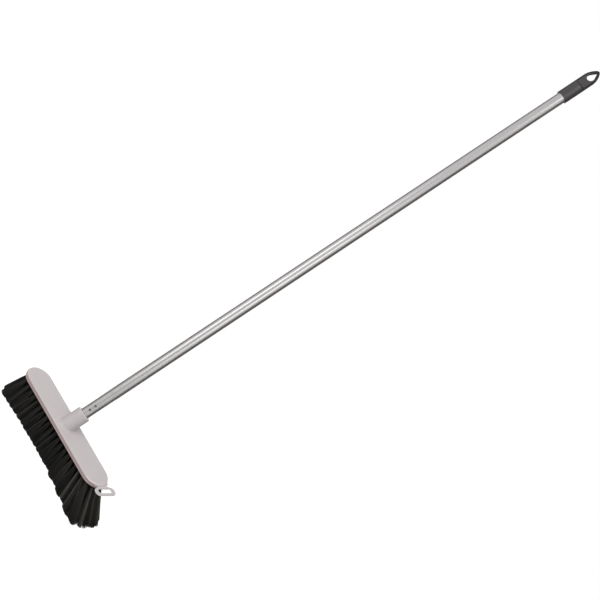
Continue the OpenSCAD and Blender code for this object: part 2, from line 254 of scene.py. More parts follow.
class BroomThreadSizes(bpy.types.PropertyGroup):
    """Sizes of the handle thread and of the insert that carries it."""

    pitch: length("Pitch", "Pitch of the thread", 5)
    start: length("Start", "Height of the first turn above the cover's top, along the handle", 10.8)
    core: length("Core", "Radius of the male thread's core", 8.1)
    height: length("Height", "Height of the thread above its core", 1.6)
    gap: length("Gap", "Clearance between male and female thread", 0.35)
    crest: length("Crest", "Half width of the male thread's crest", 0.55)
    foot: length("Foot", "Half width of the male thread's foot", 1.08)
    spigot: length("Spigot", "Length of the threaded spigot", 22)
    flange: length("Flange", "Thickness of the insert's flange", 2)
    plug: length("Plug", "Length of the plug inside the tube", 44)
    plug_bore: length("Plug bore", "Radius of the plug's bore", 6)


class BroomHandleSizes(bpy.types.PropertyGroup):
    """Sizes of the handle's tube."""

    wall: length("Wall", "Wall of the tube", 0.8)
    swage: length("Swage", "How far the lower end is drawn in, on the radius", 0.3)
    swage_length: length("Swage length", "Length of the drawn-in end", 62)
    taper: length("Taper", "Length over which it widens again", 12)
    dimple_radius: length("Dimple radius", "Radius of a punched dimple", 3)
    dimple_depth: length("Dimple depth", "Depth of a punched dimple", 1.7)
    dimple_rise: length("Dimple rise", "Height of the first dimple above the tube's end", 17.5)
    dimple_pitch: length("Dimple pitch", "Distance between the dimples of a pair", 12.4)
    dimple_turn: angle("Dimple turn", "Turn of the dimples from the front towards the eye", 21)
    end_radius: length("End radius", "Radius of the tube's cut ends", 0.25)
    # Painted shade on the tube's lower end, standing in for darker reflections, fades out up to this height.
    painted_shade_height: length("Dust height", "Height above the tube's end at which its dust ends", 190)


class BroomCapSizes(bpy.types.PropertyGroup):
    """Sizes of the hanging cap."""

    bore: length("Bore", "Radius of the sleeve's bore", 11.05)
    bore_depth: length("Bore depth", "Depth of the sleeve's bore", 34.8)
    rim: length("Rim", "Radius of the sleeve's rim edges", 0.3)
    shoulder_low: length("Shoulder start", "Height above the rim at which the sleeve starts to flatten", 37.5)
    shoulder_high: length("Shoulder end", "Height above the rim at which the blade starts", 46)
    blade: length("Blade", "Half the thickness of the blade", 3)
    blade_edge: length("Blade edge", "Radius of the blade's edges", 1.2)
    nose_lead: length("Nose lead", "How far below the hole's middle the sides start to curve in", 6.5)
    tip_radius: length("Tip radius", "Radius of the blade's tip", 5)
    hole_radius: length("Hole radius", "Radius of the hole's round end", 7.5)
    hole_length: length("Hole length", "Height of the hole's tip above the middle of its round end", 14.5)
    hole_tip: length("Hole tip", "Radius of the hole's narrow tip", 1.6)
    hole_edge: length("Hole edge", "Radius of the hole's edges", 1.1)
    # The band along the cap's outline is painted shade on its rounded edges.
    dark_edge: length("Dark edge", "Width of the dulled band along the outline, doubled at the tip", 5)


class BroomBristleSizes(bpy.types.PropertyGroup):
    """Sizes of the bristles and how they fan out."""

    length: length("Length", "Length of bristle below the board", 60)
    margin: length("Margin", "Distance from the edge of the head to the outer tufts", 9)
    pitch: length("Pitch", "Distance between the tufts of a row", 12.4)
    hole: length("Hole", "Radius of a tuft hole", 2.5)
    sink: length("Sink", "How far the strands start inside the board", 1)
    strands: IntProperty(name="Strands", description="Strands in a tuft", default=330)
    root_thickness: length("Root thickness", "Radius of a strand at the board", 0.34)
    tip_thickness: length("Tip thickness", "Radius of a strand at its tip", 0.4)
    opening: FloatProperty(name="Opening", description="Width of a tuft's tips over its pitch", default=1.2)
    flare: share("Flare", "How much wider the tufts at the ends open", 0.2)
    clumps: IntProperty(name="Clumps", description="Clumps that a tuft's strands gather in", default=9)
    gather: share("Gather", "How far the tips gather to the middles of their clumps", 0.05)
    rounding: share("Rounding", "How much shorter a tuft's outermost strands are", 0.05)
    crowding: share("Crowding", "Power that crowds the strands to a tuft's middle", 0.52)
    fan_eye: angle("Fan at the eye", "Angle of the last tufts at the eye's end", 36)
    fan_far: angle("Fan at the far end", "Angle of the last tufts at the far end", 8)
    splay_front: angle("Front splay", "Angle of the front row towards the front", 6)
    splay_rear: angle("Rear splay", "Angle of the rear row towards the rear", 1)
    corner_eye: angle("Eye corner", "Further angle of the front row's last tuft at the eye's end", 16)
    corner_far: angle("Far corner", "Further angle of the front row's last tuft at the far end", 5)
    raggedness: share("Raggedness", "Spread of the strands' lengths", 0.006)
    bow: length("Bow", "Spread of the strands' bow at their tips", 0.5)
    seed: IntProperty(name="Seed", description="Start of the random draws", default=7)


class BroomColours(bpy.types.PropertyGroup):
    """Colours of the finishes."""

    cover: colour("Cover", "Plastic of the head's cover", 0.56, 0.515, 0.52)
    # The cover's side colour is painted shade: a darker, browner copy of the cover's plastic for its side,
    # which faces down.
    cover_side_shade: colour("Cover side", "Plastic of the cover round its side", 0.385, 0.28, 0.28)
    # The board's darker, browner colour is partly painted shade for its side, which faces down.
    board: colour("Board", "Plastic of the tuft board", 0.37, 0.28, 0.275)
    tube: colour("Tube", "Metal of the handle", 0.471, 0.459, 0.46)
    cap: colour("Cap", "Plastic of the hanging cap", 0.036, 0.031, 0.0325)
    insert: colour("Insert", "Plastic of the thread insert", 0.30, 0.30, 0.31)
    wire: colour("Wire", "Metal of the tuft anchors", 0.50, 0.48, 0.44)
    # The roots are lighter than the tips, partly painted light that lifts the shade between the tufts by the
    # board.
    bristle_root: colour("Bristle root", "Bristles at the board", 0.0091, 0.0083, 0.0071)
    bristle_tip: colour("Bristle tip", "Bristles at their worn tips", 0.0075, 0.0066, 0.0056)


class BroomStudio(bpy.types.PropertyGroup):
    """Camera, light from all round, cards and floor."""

    camera_place: FloatVectorProperty(
        name="Camera place",
        description="Where the camera stands",
        default=(0.78377, -1.9584, -0.85563),
        unit="LENGTH",
    )
    camera_turn: FloatVectorProperty(
        name="Camera turn",
        description="Turns of the camera about X, Y and Z",
        default=[math.radians(turn) for turn in (97.2579, -56.1603, 14.5258)],
        subtype="EULER",
    )
    view_angle: angle("View angle", "Width of the camera's view", 30)
    ambient: share("Ambient", "Light from all round", 0.48)
    card_distance: length("Card distance", "Distance of the cards from the handle", 1500)
    floor_drop: length("Floor drop", "How far the floor lies below the bristles", 450)
    floor_size: length("Floor size", "Length of the floor's side", 9000)
    floor_lift: share("Floor lift", "Whiteness that the floor adds for the camera", 0.42)


SETTINGS = {
    "broom_head": BroomHeadSizes,
    "broom_thread": BroomThreadSizes,
    "broom_handle": BroomHandleSizes,
    "broom_cap": BroomCapSizes,
    "broom_bristles": BroomBristleSizes,
    "broom_colours": BroomColours,
    "broom_studio": BroomStudio,
}


def smooth(value, low, high):
    """Smooth step: 0 below low, 1 above high, and 3t^2 - 2t^3 of the share between them."""
    t = np.clip((value - low) / (high - low), 0, 1)
    return t * t * (3 - 2 * t)


def column(*values):
    """A list of numbers as a column, one for each ring of a grid."""
    return np.array(values, dtype=float).reshape(-1, 1)


def steps(start, end, count):
    """So many even steps from start to end as a column, both ends included."""
    return np.linspace(start, end, count).reshape(-1, 1)


def full_circle(count):
    """So many even turns of a full circle as a row."""
    return np.linspace(0, FULL_TURN, count, endpoint=False)[None, :]


def grid_faces(rows, columns, closed=True):
    """Quads between neighbouring rows and columns; a closed grid joins its last column to its first."""
    low = np.arange(rows - 1)[:, None] * columns
    high = low + columns
    here = np.arange(columns if closed else columns - 1)[None, :]
    there = (here + 1) % columns
    return np.stack([low + here, low + there, high + there, high + here], axis=-1).reshape(-1, 4)


def closed_faces(rows, columns):
    """Faces of a closed grid with its first and last rings filled."""
    first = list(range(columns - 1, -1, -1))
    last = list(range((rows - 1) * columns, rows * columns))
    return grid_faces(rows, columns).tolist() + [first, last]


def ring_faces(rows, columns):
    """Quads of a grid that is closed both ways, as round a ring's section and along the ring."""
    quads = grid_faces(rows + 1, columns)
    return (quads % (rows * columns)).tolist()


def joined(*shells):
    """Points and faces of several shells as one list of each."""
    points = np.concatenate([shell[0].reshape(-1, 3) for shell in shells])
    starts = np.cumsum([0] + [shell[0].size // 3 for shell in shells])
    faces = [[corner + start for corner in face] for shell, start in zip(shells, starts) for face in shell[1]]
    return points, faces


def build_mesh(name, points, faces, marks):
    """Mesh of points and faces, with its marks as named numbers on the points."""
    mesh = bpy.data.meshes.new(name)
    mesh.from_pydata(points.reshape(-1, 3).tolist(), [], faces)
    for mark, values in marks.items():
        attribute = mesh.attributes.new(mark, "FLOAT", "POINT")
        attribute.data.foreach_set("value", np.asarray(values, dtype=np.float32).ravel())
    return mesh


def weld(mesh, distance=0.002 * MM):
    """Merges points that lie together and turns all faces outwards."""
    shell = bmesh.new()
    shell.from_mesh(mesh)
    bmesh.ops.remove_doubles(shell, verts=shell.verts, dist=distance)
    bmesh.ops.recalc_face_normals(shell, faces=shell.faces)
    shell.to_mesh(mesh)
    shell.free()


def place_piece(mesh, material, body, node, crease=math.radians(38)):
    """Puts a finished mesh into the scene in place of its node, riding on the node's body."""
    mesh.materials.append(material)
    mesh.shade_smooth()
    mesh.set_sharp_from_angle(angle=crease)
    piece = bpy.data.objects.new(mesh.name, mesh)
    bpy.context.scene.collection.objects.link(piece)
    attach(piece, body)
    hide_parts(node)


def head_level(head):
    """Height of the cover's top on the handle's axis, below the tube's lower end."""
    return TUBE_LOW.z - head.tube_seat


def to_part(points, head):
    """Turns points of the head's frame about X by the lean, and moves them down to the head's place."""
    x, y, z = np.moveaxis(points, -1, 0)
    cos_lean = math.cos(head.lean)
    sin_lean = math.sin(head.lean)
    return np.stack([x, y * cos_lean - z * sin_lean, y * sin_lean + z * cos_lean + head_level(head)], axis=-1)


def head_track(head, end_columns=48, side_columns=150):
    """Columns round the head, which is a strip with two round ends about a middle line: the place along
    the line that each column springs from, and the angle at which it leaves. The ends turn evenly. On the
    sides half of the spacing is even, and half is even in angle as seen from the socket."""
    half_line = (head.length - head.width) / 2
    widest = math.atan2(half_line, head.width / 2 - head.edge_radius)
    even = np.linspace(1, -1, side_columns, endpoint=False)
    side = half_line * (even + np.tan(widest * even) / math.tan(widest)) / 2
    end = np.linspace(-QUARTER_TURN, QUARTER_TURN, end_columns, endpoint=False)
    place = np.concatenate([np.full(end_columns, half_line), side, np.full(end_columns, -half_line), -side])
    leave = np.concatenate(
        [end, np.full(side_columns, QUARTER_TURN), end + math.pi, np.full(side_columns, 3 * QUARTER_TURN)]
    )
    return place, leave


def track_rings(track, reach, level):
    """Rings at some reach from the middle line and some level: line point plus reach times direction."""
    place, leave = track
    x = place + reach * np.cos(leave)
    y = reach * np.sin(leave)
    return np.stack([x, y, np.broadcast_to(level, x.shape)], axis=-1)


def socket_rings(head, turn, radius, rise):
    """Rings about the leaning handle: radius and turn across the axis, rise along it."""
    across = radius * np.sin(turn)
    x, across, rise = np.broadcast_arrays(radius * np.cos(turn), across, rise)
    y = across * math.cos(head.lean) + rise * math.sin(head.lean)
    z = rise * math.cos(head.lean) - across * math.sin(head.lean)
    return np.stack([x, y, z], axis=-1)


def thread_share(thread, turn, rise, crest, foot, last_turn):
    """Share of a thread's height at a turn and rise: 1 within the crest's half width of the helix's middle,
    falling evenly to 0 at the foot's, and 0 before the first turn and after the last."""
    phase = (rise - thread.start) / thread.pitch - turn / FULL_TURN
    nearest = np.round(phase)
    away = np.abs(phase - nearest) * thread.pitch
    wound = nearest + turn / FULL_TURN
    height = np.clip((foot - away) / (foot - crest), 0, 1)
    return height * (nearest >= 0) * (wound <= last_turn)


def bore_rings(head, thread, turn, ring_step=0.4 * MM):
    """Threaded bore, from its floor to the seat: core radius plus the groove's depth times its share."""
    seat = head.socket_rise - head.mouth_depth
    rise = steps(head.bore_floor, seat, 1 + round((seat - head.bore_floor) / ring_step))
    groove = thread_share(thread, turn, rise, thread.crest + thread.gap, thread.foot + thread.gap, math.inf)
    radius = thread.core + thread.gap + thread.height * groove
    return socket_rings(head, turn, radius, rise)


def mouth_rings(head, turn, arc_steps=6):
    """Socket from its seat to the top of its outer wall: plain mouth, inner rim arc, outer rim arc."""
    seat = head.socket_rise - head.mouth_depth
    inner = head.mouth_radius
    quarter = steps(0, QUARTER_TURN, arc_steps)
    inner_arc = inner + head.rim_inside * (1 - np.cos(quarter))
    inner_rise = head.socket_rise - head.rim_inside * (1 - np.sin(quarter))
    outer_arc = head.socket_radius - head.rim_outside * (1 - np.sin(quarter))
    outer_rise = head.socket_rise - head.rim_outside * (1 - np.cos(quarter))
    radius = np.concatenate([column(inner), inner_arc, outer_arc])
    rise = np.concatenate([column(seat), inner_rise, outer_rise])
    return socket_rings(head, turn, radius, rise)


def fillet_rings(head, turn, flat_edge, wall_steps=8, blend_steps=14, flat_steps=8, pull=0.72):
    """Socket wall, its blend, and the cover's flat top. The wall meets the top in an ellipse, whose rise is
    radius times sin(turn) times tan(lean). The blend is a cubic curve from the wall above the ellipse to the
    top outside it, each end pulled towards the ellipse."""
    meet = head.socket_radius * np.sin(turn) * math.tan(head.lean)
    top = head.socket_rise - head.rim_outside
    foot = meet + head.fillet_rise
    wall = socket_rings(head, turn, head.socket_radius, top + (foot - top) * steps(0, 1, wall_steps)[1:])
    corner = socket_rings(head, turn, head.socket_radius, meet)
    start = wall[-1]
    outward = flat_edge - corner
    end = corner + outward * (head.fillet_reach / np.linalg.norm(outward, axis=-1, keepdims=True))
    t = steps(0, 1, blend_steps)[1:, :, None]
    first_pull = start + pull * (corner - start)
    last_pull = end + pull * (corner - end)
    left = 1 - t
    blend = left**3 * start + 3 * left**2 * t * first_pull + 3 * left * t**2 * last_pull + t**3 * end
    flat = end + (flat_edge - end) * steps(0, 1, flat_steps)[1:, :, None]
    return np.concatenate([wall, blend, flat])


def edge_rings(head, track, arc_steps=10, lip_steps=4):
    """Cover from its flat top's edge to its inside: quarter-round edge, side, lip arc, and the inner wall."""
    half = head.width / 2
    round_off = steps(0, QUARTER_TURN, arc_steps)[1:]
    lip = steps(0, QUARTER_TURN, lip_steps)
    lip_level = -head.cover_height + head.lip_radius
    inside = half - head.cover_wall
    reach = np.concatenate(
        [
            half - head.edge_radius * (1 - np.sin(round_off)),
            half - head.lip_radius * (1 - np.cos(lip)),
            column(inside, inside),
        ]
    )
    level = np.concatenate(
        [
            -head.edge_radius * (1 - np.cos(round_off)),
            lip_level - head.lip_radius * np.sin(lip),
            column(-head.cover_height, -head.cover_wall),
        ]
    )
    return track_rings(track, reach, level)


def cover_shell(head, thread):
    """Cover and socket as one closed grid, from the bore's floor out to the cover's inside. Returns it with
    two marks: one for a painted highlight on the mouth's rim and the top of the round ends' edge, and one
    for painted shade, which grows from 0 to 1 down the rounded edge."""
    track = head_track(head)
    flat_edge = track_rings(track, head.width / 2 - head.edge_radius, 0.0)
    turn = np.arctan2(flat_edge[:, 1], flat_edge[:, 0])
    turn = np.mod(turn + QUARTER_TURN, FULL_TURN) - QUARTER_TURN
    parts = [
        bore_rings(head, thread, turn),
        mouth_rings(head, turn),
        fillet_rings(head, turn, flat_edge),
        edge_rings(head, track),
    ]
    rings = np.concatenate(parts)
    edge = np.zeros(rings.shape[:2])
    side = np.zeros(rings.shape[:2])
    mouth = len(parts[0])
    # Painted highlight on the mouth's rim.
    edge[mouth : mouth + len(parts[1]) - RIM_FADE] = 1
    rounding = -len(parts[-1])
    depth = -parts[-1][..., 2] / head.edge_radius
    half_line = (head.length - head.width) / 2
    end = smooth(np.abs(parts[-1][..., 0]), half_line, half_line + HIGHLIGHT_REACH * head.width)
    # Painted highlight along the top of the round ends' edge.
    edge[rounding:] = end * np.clip(1 - np.abs(depth - HIGHLIGHT_DEPTH) / HIGHLIGHT_DEPTH, 0, 1)
    # Painted shade down the rounded edge to the side.
    side[rounding:] = smooth(depth, *SIDE_SHADE_DEPTHS)
    return (rings, closed_faces(*rings.shape[:2])), edge, side


def round_ended(long, wide, turn):
    """Points of an outline with round ends, its length along Y: a half circle at each end, evenly turned."""
    straight = (long - wide) / 2
    x = wide / 2 * np.cos(turn)
    y = wide / 2 * np.sin(turn) + np.where(np.sin(turn) >= 0, straight, -straight)
    return x, y


def section(around, squareness):
    """Rounded-square section: cosine and sine with their sizes raised to 2 / squareness, signs kept."""
    power = 2 / squareness
    across = np.sign(np.cos(around)) * np.abs(np.cos(around)) ** power
    up = np.sign(np.sin(around)) * np.abs(np.sin(around)) ** power
    return across, up


def eye_shell(head, ring_columns=96, section_steps=20, squareness=3.2):
    """Hanging eye: a rounded-square section carried round between the hole and the outline, and then turned
    about the hole's middle."""
    along = full_circle(ring_columns).T
    around = full_circle(section_steps)
    outer_x, outer_y = round_ended(head.eye_width, head.eye_length, along)
    inner_x, inner_y = round_ended(head.eye_hole_width, head.eye_hole_length, along)
    outer_x = outer_x + head.eye_bar + (head.eye_hole_length - head.eye_length) / 2
    hole_place = head.length / 2 + head.eye_reach - head.eye_bar - head.eye_hole_length / 2
    across, up = section(around, squareness)
    middle = -head.cover_height + head.eye_thickness / 2
    x = (inner_x + outer_x) / 2 + (outer_x - inner_x) / 2 * across
    y = (inner_y + outer_y) / 2 + (outer_y - inner_y) / 2 * across
    z = middle + head.eye_thickness / 2 * up + np.zeros_like(x)
    turned_x = hole_place + x * math.cos(head.eye_turn) + y * math.sin(head.eye_turn)
    turned_y = y * math.cos(head.eye_turn) - x * math.sin(head.eye_turn)
    return np.stack([turned_x, turned_y, z], axis=-1), ring_faces(ring_columns, section_steps)


def neck_shell(
    head,
    sections=16,
    section_steps=28,
    squareness=4,
    flare=5 * MM,
    start_back=12 * MM,
    lap=3 * MM,
    inset=0.15 * MM,
):
    """Web between head and eye: a flat rounded-square section along X whose half width is least at the head's
    end and grows with the square of the distance from there, up to a flare. It is sheared bit by bit to end
    along the turned eye."""
    start = head.length / 2 - start_back
    end = head.length / 2 + head.eye_reach - head.eye_length + lap
    x = steps(start, end, sections)
    across, up = section(full_circle(section_steps), squareness)
    narrow = head.length / 2
    half_width = head.neck_width / 2 + flare * np.square((x - narrow) / lap)
    half_width = np.minimum(half_width, head.neck_width / 2 + flare)
    half_thickness = head.eye_thickness / 2 - inset
    middle = -head.cover_height + head.eye_thickness / 2
    y = half_width * across
    shear = math.tan(head.eye_turn) * steps(0, 1, sections)
    points = np.stack(np.broadcast_arrays(x + shear * y, y, middle + half_thickness * up), axis=-1)
    return points, closed_faces(sections, section_steps)


def board_shell(head, arc_steps=6, draft=0.15 * MM, crown=0.25 * MM):
    """Tuft board: rings down its side, with a small upper edge, a little draft and a rounded lower edge,
    which is marked as worn."""
    half = head.width / 2 - head.board_inset
    top = -head.cover_height
    low = top - head.board_height
    quarter = steps(0, QUARTER_TURN, arc_steps)
    upper_reach = half - crown * (1 - np.sin(quarter))
    upper_level = top - crown * (1 - np.cos(quarter))
    lower_reach = half - draft - head.board_edge * (1 - np.cos(quarter))
    lower_level = low + head.board_edge * (1 - np.sin(quarter))
    reach = np.concatenate([upper_reach, lower_reach])
    level = np.concatenate([upper_level, lower_level])
    rings = track_rings(head_track(head), reach, level)
    worn = np.concatenate([np.zeros(arc_steps), np.ones(arc_steps)])
    marks = np.repeat(worn, rings.shape[1])
    return rings, closed_faces(*rings.shape[:2]), marks


def row_places(row, head, bristles):
    """Place of a row across the head, the outer rows' place, half the row's length, and its tufts' places
    along the head. The outer rows lie a margin in from the edge, and each row ends on an arc that the middle
    row's end touches."""
    outer = head.width / 2 - bristles.margin
    across = outer * (2 * row / (len(ROW_NODES) - 1) - 1)
    end_arc = END_ARC * outer
    half = (head.length - head.width) / 2 + outer - end_arc + math.sqrt(end_arc**2 - across**2)
    tufts = round(2 * half / bristles.pitch) + 1
    return across, outer, half, half * np.linspace(-1, 1, tufts)


def strand_slopes(place, across, half, outer, bristles):
    """Slopes of strands along and across the head. Both grow with the square of the share of the row's half
    length: the fan to each end's angle, and the front rows' splay by each corner's further angle. The splay
    grows evenly from the middle of the head out to the outer rows."""
    end_share = np.square(place / half)
    fan = np.where(place > 0, math.tan(bristles.fan_eye), -math.tan(bristles.fan_far)) * end_share
    corner_slope = np.where(place > 0, math.tan(bristles.corner_eye), math.tan(bristles.corner_far))
    front = math.tan(bristles.splay_front) + corner_slope * end_share
    splay = np.where(across < 0, front, math.tan(bristles.splay_rear))
    return fan, np.clip(across / outer, -1, 1) * splay


def tuft_clumps(side_x, side_y, clumps, turn):
    """Clump of each strand of a tuft: the nearest of a few middles, which fill the disc in a sunflower
    pattern. Returns the clumps' numbers and the places of their middles."""
    order = np.arange(clumps)
    out = np.sqrt((order + 0.5) / clumps)
    middle_x = out * np.cos(order * GOLDEN_TURN + turn)
    middle_y = out * np.sin(order * GOLDEN_TURN + turn)
    away = np.hypot(side_x[..., None] - middle_x[:, None, :], side_y[..., None] - middle_y[:, None, :])
    clump = away.argmin(axis=-1)
    return clump, np.take_along_axis(middle_x, clump, axis=1), np.take_along_axis(middle_y, clump, axis=1)


def strand_bows(draw, clump, bristles):
    """Bow of each strand at its tip, along and across the head: a draw for its clump plus half as wide a draw
    of its own, which is wider for strays."""
    tufts, count = clump.shape
    clump_draws = draw.normal(0, bristles.bow, (2, tufts, bristles.clumps))
    clump_bow = np.take_along_axis(clump_draws, np.broadcast_to(clump, (2, tufts, count)), axis=2)
    stray = np.where(draw.uniform(0, 1, (tufts, count)) < STRAY_SHARE, STRAY_BOW, 1)
    strand_bow = draw.normal(0, bristles.bow / 2, (2, tufts, count)) * stray
    return np.clip(clump_bow + strand_bow, -MOST_BOW * bristles.bow, MOST_BOW * bristles.bow)


def tip_step(place):
    """Cut of the tips at a place along a row, which grows evenly over each pitch and then starts again, so
    that the line of the tips runs in steps towards the eye."""
    step = np.mod((place - STEP_START) / STEP_PITCH, 1) - STEP_KEEP
    return STEP_CUT * np.where(place > STEP_START, step, 0)


def strand_points(middle, first_turn, along, bristles):
    """Points of the strands' tubes: evenly turned corners round each middle, at a radius that changes evenly
    from root to tip, and last the end's point."""
    radius = bristles.root_thickness + (bristles.tip_thickness - bristles.root_thickness) * along
    corner = first_turn + FULL_TURN / STRAND_SIDES * np.arange(STRAND_SIDES)
    ring = np.stack(np.broadcast_arrays(np.cos(corner), np.sin(corner), 0 * corner), axis=-1)
    tube = middle[..., None, :] + radius[:, None, None] * ring
    point = middle[..., -1:, :] - np.array([0, 0, TIP_POINT * bristles.tip_thickness])
    total = middle.shape[0] * middle.shape[1]
    return np.concatenate([tube.reshape(total, -1, 3), point.reshape(total, 1, 3)], axis=1)


def tuft_row_strands(row, head, bristles, rings=4):
    """Strands of a row of tufts. A tuft's strands fill a disc in a sunflower pattern, which opens from the
    hole to the tips with a power of the depth, and later towards the eye's end. They gather a little in
    clumps, bow, and run down their slopes as thin tubes, and their tips are cut in steps. Returns points,
    faces, depth shares and shades. A strand's shade goes by its clump and itself, a random tone whose few
    bright clumps are painted glints, and grows towards the eye's end as painted light."""
    draw = np.random.default_rng(bristles.seed + row)
    across, outer, half, tuft_x = row_places(row, head, bristles)
    tufts = len(tuft_x)
    count = bristles.strands
    tuft_x = tuft_x[:, None]
    order = np.arange(count)[None, :]
    out = ((order + 0.5) / count) ** bristles.crowding
    turn = order * GOLDEN_TURN + draw.uniform(0, FULL_TURN, (tufts, 1))
    side_x = out * np.cos(turn)
    side_y = out * np.sin(turn)
    opening = bristles.opening * (1 + bristles.flare * np.square(tuft_x / half))
    tip_x = opening * bristles.pitch / 2
    tip_y = opening * outer / (len(ROW_NODES) - 1)
    fan, splay = strand_slopes(tuft_x + side_x * tip_x, across + side_y * tip_y, half, outer, bristles)
    clump_turn = draw.uniform(0, FULL_TURN, (tufts, 1))
    clump, middle_x, middle_y = tuft_clumps(side_x, side_y, bristles.clumps, clump_turn)
    bow = strand_bows(draw, clump, bristles)
    tuft_ragged = draw.normal(0, bristles.raggedness, (tufts, 1))
    ragged = tuft_ragged + draw.normal(0, bristles.raggedness, (tufts, count))
    reach_share = 1 - bristles.rounding * out**2 + ragged - tip_step(tuft_x / half)
    reach = bristles.length * np.clip(reach_share, LEAST_REACH, MOST_REACH)
    along = np.linspace(0, 1, rings)
    depth = -bristles.sink + (reach + bristles.sink)[..., None] * along
    root = ROOT_FILL * bristles.hole
    end_x = tip_x * (side_x + bristles.gather * (middle_x - side_x)) + bow[0]
    end_y = tip_y * (side_y + bristles.gather * (middle_y - side_y)) + bow[1]
    lead = smooth(tuft_x, LEAD_START * half, half)
    curl = along ** (CURL_POWER + LEAD_CURL * lead)[..., None]
    x = tuft_x[..., None] + root * side_x[..., None] + (end_x - root * side_x)[..., None] * curl
    y = across + root * side_y[..., None] + (end_y - root * side_y)[..., None] * curl
    x = x + fan[..., None] * depth
    y = y + splay[..., None] * depth
    z = -head.cover_height - head.board_height - depth
    first_turn = draw.uniform(0, FULL_TURN, (tufts, count, 1, 1))
    points = strand_points(np.stack([x, y, z], axis=-1), first_turn, along, bristles)
    total, size = points.shape[:2]
    depth_shares = np.tile(np.append(np.repeat(along, STRAND_SIDES), 1), total)
    # Random clump tones; the few bright clumps are painted glints.
    clump_shades = draw.uniform(0, 1, (tufts, bristles.clumps)) ** CLUMP_POWER
    clump_shade = np.take_along_axis(clump_shades, clump, axis=1)
    # Painted light: the strands grow lighter towards the eye's end.
    painted_shading = (1 + LEAD_PAINTED_LIGHT * lead) / (1 + LEAD_PAINTED_LIGHT)
    shade = painted_shading * (CLUMP_SHADE * clump_shade + (1 - CLUMP_SHADE) * draw.uniform(0, 1, (tufts, count)))
    return points, strand_faces(total, rings), depth_shares, np.repeat(shade, size)


def strand_faces(count, rings):
    """Faces of so many three-sided tubes: quads between the rings, a closed root and a pointed tip."""
    tip = STRAND_SIDES * rings
    last = tip - STRAND_SIDES
    root = list(range(STRAND_SIDES))
    quads = grid_faces(rings, STRAND_SIDES)[:, ::-1]
    ends = np.array([root] + [[last + side, tip, last + (side + 1) % STRAND_SIDES] for side in root])
    starts = (tip + 1) * np.arange(count)[:, None, None]
    return (starts + quads).reshape(-1, 4).tolist() + (starts + ends).reshape(-1, 3).tolist()


def tube_radius(handle, rise):
    """Outside radius at a rise above the tube's end, which widens smoothly to the plain length's."""
    widen = smooth(rise, handle.swage_length, handle.swage_length + handle.taper)
    return TUBE_HIGH.x - handle.swage * (1 - widen)


def dimple_dent(handle, turn, rise):
    """Depth of the punched dimples: depth times 1 - (distance / radius)^2 round each one's middle."""
    dent = np.zeros(np.broadcast(turn, rise).shape)
    for side in (0, math.pi):
        for row in (0, 1):
            middle_turn = side - QUARTER_TURN + handle.dimple_turn
            middle_rise = handle.dimple_rise + row * handle.dimple_pitch
            apart = np.mod(turn - middle_turn + math.pi, FULL_TURN) - math.pi
            distance = np.hypot(apart * tube_radius(handle, rise), rise - middle_rise)
            dent += handle.dimple_depth * np.clip(1 - np.square(distance / handle.dimple_radius), 0, 1)
    return dent


def tube_shell(handle, columns=180, fine=0.4 * MM, end_rows=6, taper_rows=10, plain_rows=30):
    """Tube as a grid closed both ways: up the outside, over the rounded end, down the inside and under. Its
    rows are close together round the dimples and the taper, and far apart on the plain length. Returns it
    with a mark for painted shade in the dimples and on the lower end, where it stands in for darker
    reflections."""
    long = TUBE_HIGH.z - TUBE_LOW.z
    dimples_end = handle.dimple_rise + handle.dimple_pitch + 2 * handle.dimple_radius
    taper_end = handle.swage_length + handle.taper
    low = handle.dimple_rise - 2 * handle.dimple_radius
    rise = np.concatenate(
        [
            np.arange(low, dimples_end, fine),
            np.linspace(dimples_end, handle.swage_length, end_rows),
            np.linspace(handle.swage_length, taper_end, taper_rows)[1:],
            np.linspace(taper_end, long - handle.end_radius, plain_rows)[1:],
        ]
    )
    rise = np.concatenate([[handle.end_radius], rise])[:, None]
    turn = full_circle(columns)
    dent = dimple_dent(handle, turn, rise)
    # Painted shade on the lower end, standing in for darker reflections there.
    painted_shading = END_PAINTED_SHADE * (1 - smooth(rise, handle.swage_length, handle.painted_shade_height))
    outside = tube_radius(handle, rise) - dent
    inside = outside - handle.wall
    edge = handle.end_radius
    top = np.full((1, columns), long)
    bottom = np.zeros((1, columns))
    top_rim = [outside[-1:] - edge, inside[-1:] + edge]
    low_rim = [inside[:1] + edge, outside[:1] - edge]
    radius = np.concatenate([outside, *top_rim, inside[::-1], *low_rim])
    rise = rise + 0 * turn
    rise = np.concatenate([rise, top, top, rise[::-1], bottom, bottom])
    points = np.stack([radius * np.cos(turn), radius * np.sin(turn), TUBE_LOW.z + rise], axis=-1)
    marks = np.zeros(radius.shape)
    # Painted shade in the dimples, where shade falls, and on the lower end.
    marks[: len(dent)] = np.maximum(DIMPLE_PAINTED_SHADE * np.sqrt(dent / handle.dimple_depth), painted_shading)
    return points, ring_faces(*radius.shape), marks


